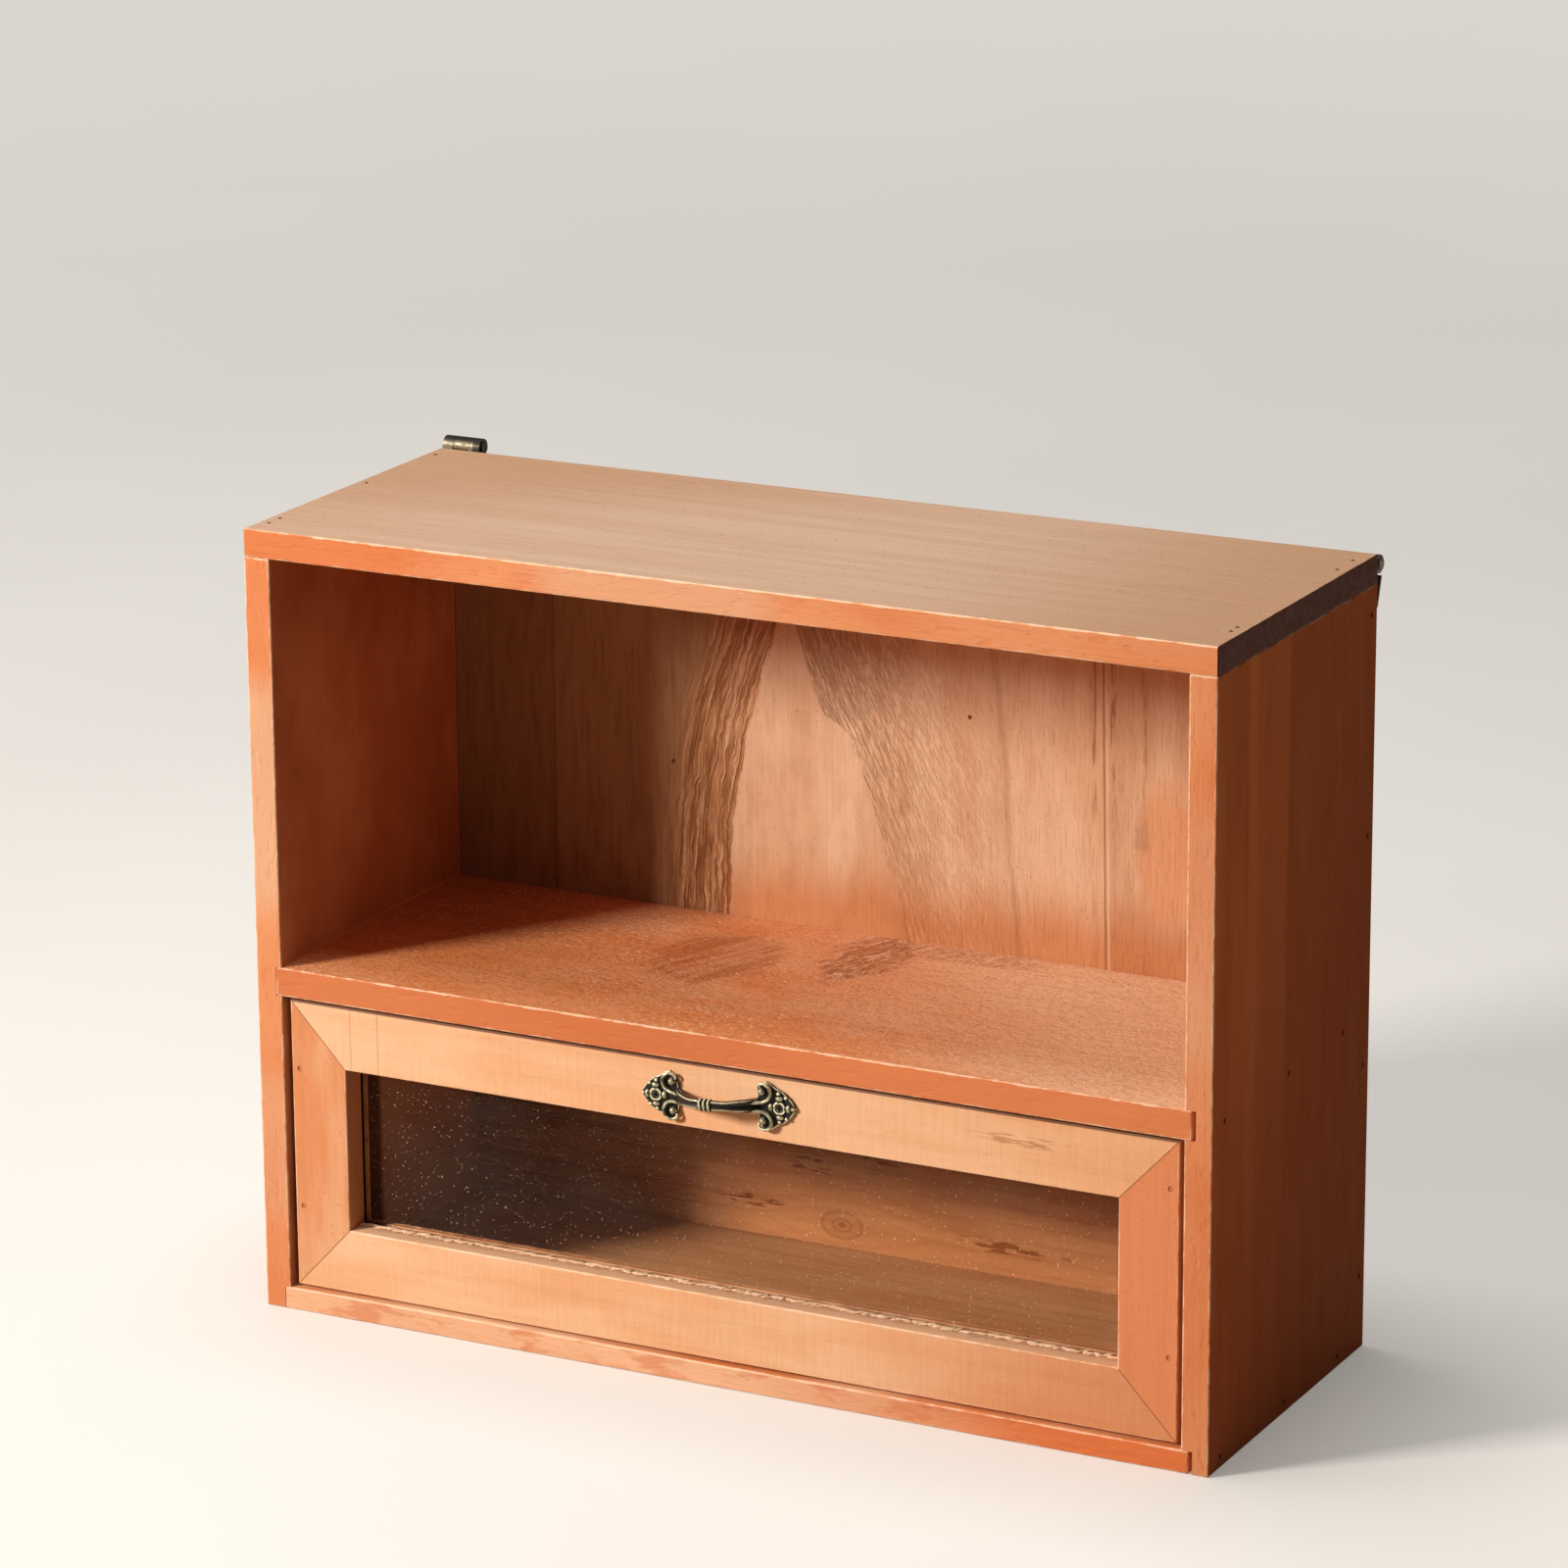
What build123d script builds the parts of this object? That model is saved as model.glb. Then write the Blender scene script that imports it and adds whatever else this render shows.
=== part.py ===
from build123d import *
import math
import os

# Desktop storage box: an open compartment above one glazed drawer.
# Millimetres. X runs to the right, Y to the back, Z up.
# The origin is the centre of the cabinet's footprint, on the surface it stands on.

# Cabinet boards
cabinet_width = 400.0
cabinet_depth = 148.0
cabinet_height = 312.0
side_thickness = 11.0
top_thickness = 11.0
shelf_thickness = 11.5
bottom_thickness = 9.0
back_thickness = 11.0
drawer_opening_height = 119.0
arris_radius = 0.7

# Housings that take the ends of the shelf and the bottom board
left_housing_depth = 2.5
right_housing_depth = 4.5
housing_end_gap = 1.5

# Drawer front, a mitred frame with a pane in a rebate
drawer_side_gap = 2.4
drawer_top_gap = 1.25
drawer_front_lift = 1.25
drawer_recess = 2.0
frame_thickness = 16.0
stile_width = 24.0
rail_height = 25.5
reveal_depth = 11.0
rebate_width = 5.0
glass_thickness = 2.0
glass_edge_gap = 0.5
edge_pick_slack = 0.01

# Drawer box
drawer_side_thickness = 9.0
drawer_back_thickness = 11.0
drawer_bottom_thickness = 3.0
drawer_box_drop = 2.0

# Brads in the boards
nail_radius = 0.7
nail_head_radius = 1.1
nail_head_thickness = 0.6
nail_sunk = 0.4
nail_length = 30.0
nail_clearance = 0.02
top_nail_inset = 4.5
left_nails_from_front = (12.0, 20.0, 84.0)
left_nails_from_rear = (11.0,)
right_nails_from_front = (22.0, 28.0)
right_nails_from_rear = (28.0, 13.0)
board_nails_from_front = (11.0, 70.0)
board_nails_from_rear = (26.0,)
back_nails_from_top = (22.0, 107.0)
back_nails_from_bottom = (115.0, 30.0)

# Nails and pins in the drawer
stile_nail_inset = 3.5
left_stile_nails = (34.0, 90.0)
right_stile_nails = (34.0, 99.0)
stile_nail_length = 34.0
box_nails_from_edge = 16.0
box_nail_length = 22.0
floor_nail_spacing = 88.0
floor_nail_length = 16.0
glazing_pin_radius = 0.5
glazing_pin_length = 9.0
glazing_pin_spacing = 120.0

# Cast bow handle
handle_hole_spacing = 52.0
handle_tilt = 2.4
handle_rise = 0.2
plate_thickness = 1.6
rosette_radius = 4.3
boss_radius = 2.7
boss_height = 2.7
petal_count = 6
petal_radius = 1.35
petal_ring_radius = 3.0
scroll_inward = 6.3
scroll_rise = 5.4
scroll_radius = 3.9
scroll_rim = 0.85
scroll_opening = 80.0
scroll_eye = 1.5
tip_reach = 6.2
tip_half_width = 3.7
tip_bead = 1.2
bow_half_span = 16.0
bow_centre_height = 11.2
bow_width = 5.0
bow_thickness = 3.4
bow_end_width = 7.6
bow_end_thickness = 2.6
bow_stations = (-1, -0.8, -0.55, -0.25, 0, 0.25, 0.55, 0.8, 1)
bow_leaf_start = 0.5
ring_count = 3
ring_pitch = 1.7
ring_length = 1.0
ring_stand = 0.7
handle_screw_radius = 1.05
handle_screw_head_radius = 1.85
handle_screw_head_thickness = 1.0
handle_screw_seat = 1.0
handle_screw_length = 11.0
screw_clearance = 0.05

# Hanging ears, small hinges at the top corners of the back
ear_length = 16.5
ear_side_inset = 0.8
ear_leaf_reach = 16.0
ear_leaf_thickness = 1.0
barrel_radius = 3.5
barrel_stand_off = 0.3
left_barrel_above_top = 1.0
right_barrel_below_top = 4.8
outer_knuckle_length = 4.6
knuckle_gap = 0.2
knuckle_relief = 0.5
ear_pin_radius = 1.4
ear_pin_clearance = 0.05
ear_pin_head_radius = 2.3
ear_pin_head_length = 0.7
leaf_rest_gap = 0.3
ear_screw_spacing = 9.0
ear_screw_from_axis = 10.0
ear_screw_radius = 1.1
ear_screw_head_radius = 2.1
ear_screw_length = 8.0
wall_hole_radius = 1.7

# Cross recess in a screw head
recess_width = 0.5
recess_depth = 0.5
recess_share_of_head = 0.7

# Planes that the boards share
left_face = -cabinet_width / 2
right_face = cabinet_width / 2
front_face = -cabinet_depth / 2
rear_face = cabinet_depth / 2
inner_left = left_face + side_thickness
inner_right = right_face - side_thickness
side_top = cabinet_height - top_thickness
back_inner = rear_face - back_thickness
shelf_underside = bottom_thickness + drawer_opening_height
shelf_top = shelf_underside + shelf_thickness

# Planes of the drawer
drawer_left = inner_left + drawer_side_gap
drawer_right = inner_right - drawer_side_gap
frame_front = front_face + drawer_recess
frame_back = frame_front + frame_thickness
frame_bottom = bottom_thickness + drawer_front_lift
frame_top = shelf_underside - drawer_top_gap
window_left = drawer_left + stile_width
window_right = drawer_right - stile_width
window_bottom = frame_bottom + rail_height
window_top = frame_top - rail_height
glass_front = frame_front + reveal_depth
glass_back = glass_front + glass_thickness
box_floor = bottom_thickness + drawer_bottom_thickness
box_top = frame_top - drawer_box_drop

AT_START = (Align.CENTER, Align.CENTER, Align.MIN)
AT_END = (Align.CENTER, Align.CENTER, Align.MAX)
DOWN = (0, 0, -1)
UP = (0, 0, 1)
BACKWARD = (0, 1, 0)
FORWARD = (0, -1, 0)
LEFTWARD = (-1, 0, 0)
RIGHTWARD = (1, 0, 0)


def block(x0, x1, y0, y1, z0, z1):
    """A square-edged block between six planes."""
    centre = Pos((x0 + x1) / 2, (y0 + y1) / 2, (z0 + z1) / 2)
    return centre * Box(x1 - x0, y1 - y0, z1 - z0)


def board(x0, x1, y0, y1, z0, z1):
    """A block with every arris lightly rounded."""
    plain = block(x0, x1, y0, y1, z0, z1)
    return fillet(plain.edges(), arris_radius)


def rod(point, direction, start, length, radius):
    """A round rod along a direction, from a distance past a point."""
    place = Plane(origin=point, z_dir=direction)
    return place * Pos(0, 0, start) * Cylinder(radius, length, align=AT_START)


def nail(spot):
    """A brad driven in at a spot, its head just under the surface."""
    point, direction, length = spot
    shank = rod(point, direction, nail_sunk, length - nail_sunk, nail_radius)
    head = rod(point, direction, nail_sunk, nail_head_thickness, nail_head_radius)
    return shank + head


def nail_hole(spot):
    """The hole that a brad leaves, open at the surface."""
    point, direction, length = spot
    mouth = nail_sunk + nail_head_thickness
    shank = rod(point, direction, 0, length, nail_radius + nail_clearance)
    head = rod(point, direction, 0, mouth, nail_head_radius + nail_clearance)
    return shank + head


def drill(wood, holes):
    """Cuts each hole that reaches the wood."""
    reach = wood.bounding_box()
    for hole in holes:
        box = hole.bounding_box()
        apart = (
            box.max.X < reach.min.X or box.min.X > reach.max.X
            or box.max.Y < reach.min.Y or box.min.Y > reach.max.Y
            or box.max.Z < reach.min.Z or box.min.Z > reach.max.Z
        )
        if not apart:
            wood = wood - hole
    return wood


def top_nail_spots():
    """Brads through the top board into the sides."""
    left = [front_face + step for step in left_nails_from_front]
    left += [rear_face - step for step in left_nails_from_rear]
    right = [front_face + step for step in right_nails_from_front]
    right += [rear_face - step for step in right_nails_from_rear]
    spots = [((left_face + top_nail_inset, y, cabinet_height), DOWN, nail_length) for y in left]
    spots += [((right_face - top_nail_inset, y, cabinet_height), DOWN, nail_length) for y in right]
    return spots


def board_end_spots(height):
    """Brads through both sides into the ends of a board at one height."""
    rows = [front_face + step for step in board_nails_from_front]
    rows += [rear_face - step for step in board_nails_from_rear]
    spots = [((left_face, y, height), RIGHTWARD, nail_length) for y in rows]
    spots += [((right_face, y, height), LEFTWARD, nail_length) for y in rows]
    return spots


def back_nail_spots():
    """Brads through both sides into the edges of the back panel."""
    heights = [cabinet_height - step for step in back_nails_from_top]
    heights += list(back_nails_from_bottom)
    middle = rear_face - back_thickness / 2
    spots = [((left_face, middle, z), RIGHTWARD, nail_length) for z in heights]
    spots += [((right_face, middle, z), LEFTWARD, nail_length) for z in heights]
    return spots


def stile_nail_spots():
    """Brads through the stiles into the front ends of the drawer's sides."""
    left = drawer_left + stile_nail_inset
    right = drawer_right - stile_nail_inset
    spots = [
        ((left, frame_front, bottom_thickness + z), BACKWARD, stile_nail_length)
        for z in left_stile_nails
    ]
    spots += [
        ((right, frame_front, bottom_thickness + z), BACKWARD, stile_nail_length)
        for z in right_stile_nails
    ]
    return spots


def box_nail_spots():
    """Brads through the drawer's sides into the ends of its back."""
    middle = back_inner - drawer_back_thickness / 2
    heights = (box_floor + box_nails_from_edge, box_top - box_nails_from_edge)
    spots = [((drawer_left, middle, z), RIGHTWARD, box_nail_length) for z in heights]
    spots += [((drawer_right, middle, z), LEFTWARD, box_nail_length) for z in heights]
    return spots


def floor_nail_spots():
    """Brads up through the drawer's floor into its sides and back."""
    middle = (frame_back + back_inner) / 2
    half = (back_inner - frame_back) / 2 - box_nails_from_edge
    spots = []
    for x in (drawer_left + drawer_side_thickness / 2, drawer_right - drawer_side_thickness / 2):
        for y in (middle - half, middle + half):
            spots.append(((x, y, bottom_thickness), UP, floor_nail_length))
    row = back_inner - drawer_back_thickness / 2
    for step in (-1, 0, 1):
        spots.append(((step * floor_nail_spacing, row, bottom_thickness), UP, floor_nail_length))
    return spots


def glazing_pin_spots():
    """Pins through the glazing strips into the frame, level with the pane."""
    row = (glass_back + frame_back) / 2
    height = (window_bottom + window_top) / 2
    spots = []
    for step in (-1, 0, 1):
        spots.append(((step * glazing_pin_spacing, row, window_top), UP))
        spots.append(((step * glazing_pin_spacing, row, window_bottom), DOWN))
    spots.append(((window_left, row, height), LEFTWARD))
    spots.append(((window_right, row, height), RIGHTWARD))
    return spots


def glazing_pin(spot):
    """One headless pin, flush with its strip."""
    point, direction = spot
    return rod(point, direction, 0, glazing_pin_length, glazing_pin_radius)


def glazing_pin_hole(spot):
    """The hole that one glazing pin fills."""
    point, direction = spot
    return rod(point, direction, 0, glazing_pin_length, glazing_pin_radius + nail_clearance)


def housed_board(bottom, thickness):
    """A board between the sides, its ends let into their housings."""
    start = inner_left - left_housing_depth
    end = inner_right + right_housing_depth - housing_end_gap
    return board(start, end, front_face, back_inner, bottom, bottom + thickness)


def side_board(outer, inner, housing_depth):
    """A side with a housing for the bottom board and one for the shelf."""
    plain = board(min(outer, inner), max(outer, inner), front_face, rear_face, 0, side_top)
    towards = math.copysign(1, outer - inner)
    bed = inner + towards * housing_depth
    for bottom, thickness in ((0, bottom_thickness), (shelf_underside, shelf_thickness)):
        plain = plain - block(
            min(inner, bed), max(inner, bed), front_face, back_inner, bottom, bottom + thickness
        )
    return plain


def top_board():
    """The top, laid over the sides and the back."""
    return board(left_face, right_face, front_face, rear_face, side_top, cabinet_height)


def back_panel():
    """The back, standing between the sides behind both boards."""
    return board(inner_left, inner_right, back_inner, rear_face, 0, side_top)


def front_member(corners, along):
    """One mitred member of the drawer's frame, rebated for the pane."""
    outline = Polygon(*corners, align=None)
    member = Pos(0, frame_back, 0) * Rot(90, 0, 0) * extrude(outline, frame_thickness)
    edges = member.edges().filter_by(along)
    edges = edges.filter_by_position(
        Axis.Y, frame_front - edge_pick_slack, frame_front + edge_pick_slack
    )
    member = fillet(edges, arris_radius)
    rebate = block(
        window_left - rebate_width, window_right + rebate_width,
        glass_front, frame_back,
        window_bottom - rebate_width, window_top + rebate_width,
    )
    return member - rebate


def frame_members():
    """The four members by name, each from its outer edge to the window."""
    outer_top_left = (drawer_left, frame_top)
    outer_top_right = (drawer_right, frame_top)
    outer_bottom_left = (drawer_left, frame_bottom)
    outer_bottom_right = (drawer_right, frame_bottom)
    inner_top_left = (window_left, window_top)
    inner_top_right = (window_right, window_top)
    inner_bottom_left = (window_left, window_bottom)
    inner_bottom_right = (window_right, window_bottom)
    top = (outer_top_left, inner_top_left, inner_top_right, outer_top_right)
    bottom = (outer_bottom_left, outer_bottom_right, inner_bottom_right, inner_bottom_left)
    left = (outer_top_left, outer_bottom_left, inner_bottom_left, inner_top_left)
    right = (outer_top_right, inner_top_right, inner_bottom_right, outer_bottom_right)
    return {
        "drawer_top_rail": front_member(top, Axis.X),
        "drawer_bottom_rail": front_member(bottom, Axis.X),
        "drawer_left_stile": front_member(left, Axis.Z),
        "drawer_right_stile": front_member(right, Axis.Z),
    }


def glass_pane():
    """The pane, a little smaller than the rebate."""
    lap = rebate_width - glass_edge_gap
    return block(
        window_left - lap, window_right + lap,
        glass_front, glass_back,
        window_bottom - lap, window_top + lap,
    )


def glazing_strips():
    """Four strips that hold the pane in the rebate."""
    rebate_left = window_left - rebate_width
    rebate_right = window_right + rebate_width
    rows = {
        "glazing_strip_top": (rebate_left, rebate_right, window_top, window_top + rebate_width),
        "glazing_strip_bottom": (
            rebate_left, rebate_right, window_bottom - rebate_width, window_bottom
        ),
        "glazing_strip_left": (rebate_left, window_left, window_bottom, window_top),
        "glazing_strip_right": (window_right, rebate_right, window_bottom, window_top),
    }
    return {
        name: block(x0, x1, glass_back, frame_back, z0, z1)
        for name, (x0, x1, z0, z1) in rows.items()
    }


def drawer_side(outer, inner):
    """A drawer side, standing on the floor behind the frame."""
    return board(
        min(outer, inner), max(outer, inner), frame_back, back_inner, box_floor, box_top
    )


def drawer_back():
    """The drawer's back, between its sides."""
    return board(
        drawer_left + drawer_side_thickness, drawer_right - drawer_side_thickness,
        back_inner - drawer_back_thickness, back_inner,
        box_floor, box_top,
    )


def drawer_bottom():
    """The drawer's floor, under its sides and back."""
    return block(
        drawer_left, drawer_right, frame_back, back_inner, bottom_thickness, box_floor
    )


def cross_recess(top):
    """The cross cut into a screw head, from its top down."""
    reach = 2 * handle_screw_head_radius * recess_share_of_head
    long_way = Pos(0, 0, top) * Box(reach, recess_width, recess_depth, align=AT_END)
    return long_way + Rot(0, 0, 90) * long_way


def bow_section(lean, width, thickness):
    """One oval section of the bow, a number of degrees from its crown."""
    radius = bow_radius()
    turn = math.radians(lean)
    crown = bow_centre_height - radius
    point = (radius * math.sin(turn), 0, crown + radius * math.cos(turn))
    along = (math.cos(turn), 0, -math.sin(turn))
    place = Plane(origin=point, x_dir=(0, 1, 0), z_dir=along)
    return place * Ellipse(width / 2, thickness / 2)


def bow_radius():
    """Radius of the bow's centre line, from its span and its rise."""
    rise = bow_centre_height - plate_thickness / 2
    return (bow_half_span**2 + rise**2) / (2 * rise)


def bow():
    """The grip: one arc that widens into a leaf at each end."""
    end = math.degrees(math.asin(bow_half_span / bow_radius()))
    sections = []
    for share in bow_stations:
        spread = max(0, abs(share) - bow_leaf_start) / (1 - bow_leaf_start)
        width = bow_width + (bow_end_width - bow_width) * spread
        thickness = bow_thickness + (bow_end_thickness - bow_thickness) * spread
        sections.append(bow_section(share * end, width, thickness))
    grip = loft(sections)
    for step in range(ring_count):
        offset = (step - (ring_count - 1) / 2) * ring_pitch
        ring = Ellipse(bow_width / 2 + ring_stand, bow_thickness / 2 + ring_stand)
        ring = extrude(ring, ring_length / 2, both=True)
        across = Plane(
            origin=(offset, 0, bow_centre_height), x_dir=(0, 1, 0), z_dir=(1, 0, 0)
        )
        grip = grip + across * ring
    return grip


def scroll(rise):
    """A scroll on an end plate: an open rim round a bead."""
    place = Pos(handle_hole_spacing / 2 - scroll_inward, rise, 0)
    disc = Cylinder(scroll_radius, plate_thickness, align=AT_START)
    rim = Torus(scroll_radius - scroll_rim, scroll_rim, major_angle=360 - scroll_opening)
    start = 180 + scroll_opening / 2
    rim = Pos(0, 0, plate_thickness) * Rot(0, 0, start) * rim
    eye = Pos(0, 0, plate_thickness) * Sphere(scroll_eye)
    return place * (disc + rim + eye)


def end_plate():
    """The right-hand end plate: rosette, pointed tip and two scrolls."""
    centre = handle_hole_spacing / 2
    inner = centre - scroll_inward
    web = Polygon(
        (inner - scroll_radius, scroll_radius - scroll_rise),
        (inner, -scroll_rise),
        (centre, -rosette_radius),
        (centre + tip_reach / 2, -tip_half_width),
        (centre + tip_reach, 0),
        (centre + tip_reach / 2, tip_half_width),
        (centre, rosette_radius),
        (inner, scroll_rise),
        (inner - scroll_radius, scroll_rise - scroll_radius),
        align=None,
    )
    plate = extrude(web, plate_thickness)
    plate = plate + Pos(centre, 0, 0) * Cylinder(
        boss_radius, boss_height, align=AT_START
    )
    for rise in (scroll_rise, -scroll_rise):
        plate = plate + scroll(rise)
    for step in range(petal_count):
        turn = math.radians((step + 0.5) * 360 / petal_count)
        petal = Pos(
            centre + petal_ring_radius * math.cos(turn),
            petal_ring_radius * math.sin(turn),
            plate_thickness,
        )
        plate = plate + petal * Sphere(petal_radius)
    bead = Pos(centre + tip_reach - 2 * tip_bead, 0, plate_thickness)
    plate = plate + bead * Sphere(tip_bead)
    return plate


def handle_place():
    """Where the handle's back lies: on the top rail's front face."""
    height = (frame_top + window_top) / 2 + handle_rise
    return Pos(0, frame_front, height) * Rot(90, 0, 0) * Rot(0, 0, handle_tilt)


def handle():
    """The cast handle in one piece, with its two screw holes."""
    right = end_plate()
    left = mirror(right, about=Plane.YZ)
    casting = right + left + bow()
    below = Pos(0, 0, -bow_end_width) * Box(
        2 * handle_hole_spacing, handle_hole_spacing, bow_end_width, align=AT_START
    )
    casting = casting - below
    for side in (-1, 1):
        spot = Pos(side * handle_hole_spacing / 2, 0, 0)
        bore = Cylinder(handle_screw_radius + screw_clearance, boss_height, align=AT_START)
        seat = Pos(0, 0, handle_screw_seat) * Cylinder(
            handle_screw_head_radius + screw_clearance, boss_height, align=AT_START
        )
        casting = casting - spot * (bore + seat)
    return handle_place() * casting


def handle_screw(side):
    """A screw with a low round head, seated in the rosette."""
    shank = Pos(0, 0, handle_screw_seat) * Cylinder(
        handle_screw_radius, handle_screw_length, align=AT_END
    )
    head = Pos(0, 0, handle_screw_seat) * Cylinder(
        handle_screw_head_radius, handle_screw_head_thickness, align=AT_START
    )
    screw = shank + head
    screw = screw - cross_recess(handle_screw_seat + handle_screw_head_thickness)
    return handle_place() * Pos(side * handle_hole_spacing / 2, 0, 0) * screw


def handle_screw_hole(side):
    """The hole in the rail for one handle screw."""
    depth = handle_screw_length - handle_screw_seat
    hole = Cylinder(handle_screw_radius + nail_clearance, depth, align=AT_END)
    return handle_place() * Pos(side * handle_hole_spacing / 2, 0, 0) * hole


def ear_middle(side):
    """X of the middle of one hanging ear."""
    return side * (right_face - ear_side_inset - ear_length / 2)


def ear_axis(side):
    """Y and Z of one ear's hinge axis."""
    height = cabinet_height - right_barrel_below_top
    if side < 0:
        height = cabinet_height + left_barrel_above_top
    return rear_face + barrel_stand_off + barrel_radius, height


def ear_block(x0, x1, y0, y1, z0, z1, side):
    """A block placed from an ear's middle and hinge axis."""
    y, z = ear_axis(side)
    middle = ear_middle(side)
    return block(middle + x0, middle + x1, y + y0, y + y1, z + z0, z + z1)


def ear_tube(x0, x1, radius, side):
    """A round length of an ear along its hinge axis."""
    y, z = ear_axis(side)
    return rod((ear_middle(side), y, z), RIGHTWARD, x0, x1 - x0, radius)


def middle_knuckle_half():
    """Half the length of the free leaf's knuckle."""
    return ear_length / 2 - outer_knuckle_length - knuckle_gap


def ear_screw_offsets():
    """X of the two screws, from the ear's middle."""
    return (-ear_screw_spacing / 2, ear_screw_spacing / 2)


def fixed_leaf(side):
    """The leaf on the cabinet's back, with the two outer knuckles."""
    half = ear_length / 2
    slot = half - outer_knuckle_length
    back = -barrel_stand_off - barrel_radius
    leaf = ear_block(-half, half, back, back + ear_leaf_thickness, -ear_leaf_reach, 0, side)
    for x0, x1 in ((-half, -slot), (slot, half)):
        leaf = leaf + ear_tube(x0, x1, barrel_radius, side)
    relief = barrel_radius + knuckle_relief
    leaf = leaf - ear_block(-slot, slot, back, relief, -relief, relief, side)
    leaf = leaf - ear_tube(-half, half, ear_pin_radius + ear_pin_clearance, side)
    for offset in ear_screw_offsets():
        leaf = leaf - ear_screw_body(offset, side, screw_clearance)
    return leaf


def free_leaf(side):
    """The leaf that hangs at rest and swings up to be fixed to a wall."""
    half = ear_length / 2
    inner_half = middle_knuckle_half()
    inner = barrel_radius - ear_leaf_thickness
    leaf = ear_block(-half, half, inner, barrel_radius, -ear_leaf_reach, 0, side)
    relief = barrel_radius + knuckle_relief
    for x0, x1 in ((-half, -inner_half), (inner_half, half)):
        leaf = leaf - ear_block(x0, x1, 0, relief, -relief, relief, side)
    leaf = leaf + ear_tube(-inner_half, inner_half, barrel_radius, side)
    leaf = leaf - ear_tube(-half, half, ear_pin_radius + ear_pin_clearance, side)
    y, z = ear_axis(side)
    for offset in ear_screw_offsets():
        point = (ear_middle(side) + offset, y, z - ear_screw_from_axis)
        leaf = leaf - rod(point, BACKWARD, 0, 2 * barrel_radius, wall_hole_radius)
    axis = Axis((ear_middle(side), y, z), RIGHTWARD)
    return leaf.rotate(axis, -hanging_lean())


def hanging_lean():
    """Degrees that the free leaf leans in, until its tip is near the fixed leaf."""
    inner = barrel_radius - ear_leaf_thickness
    tip = math.hypot(inner, ear_leaf_reach)
    reach = barrel_stand_off + barrel_radius - ear_leaf_thickness - leaf_rest_gap
    return math.degrees(math.asin(inner / tip) + math.asin(reach / tip))


def ear_pin(side):
    """The hinge pin with a small head at each end."""
    half = ear_length / 2
    pin = ear_tube(-half, half, ear_pin_radius, side)
    pin = pin + ear_tube(-half - ear_pin_head_length, -half, ear_pin_head_radius, side)
    return pin + ear_tube(half, half + ear_pin_head_length, ear_pin_head_radius, side)


def ear_screw_body(offset, side, clearance):
    """A countersunk screw's outline, wider all round by a clearance."""
    y, z = ear_axis(side)
    surface = rear_face + ear_leaf_thickness
    point = (ear_middle(side) + offset, surface, z - ear_screw_from_axis)
    place = Plane(origin=point, z_dir=FORWARD)
    head = place * Cone(
        ear_screw_head_radius + clearance,
        ear_screw_radius + clearance,
        ear_leaf_thickness,
        align=AT_START,
    )
    return head + rod(point, FORWARD, 0, ear_screw_length, ear_screw_radius + clearance)


def ear_screw(offset, side):
    """A countersunk screw with a cross recess, flush with the fixed leaf."""
    y, z = ear_axis(side)
    point = (ear_middle(side) + offset, rear_face + ear_leaf_thickness, z - ear_screw_from_axis)
    place = Plane(origin=point, z_dir=BACKWARD)
    return ear_screw_body(offset, side, 0) - place * cross_recess(0)


def write(name, solids):
    """Writes one node, whose solids stay separate."""
    shape = solids[0]
    if len(solids) > 1:
        shape = Compound(children=solids)
    export_step(shape, f"parts/{name}.step")


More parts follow.
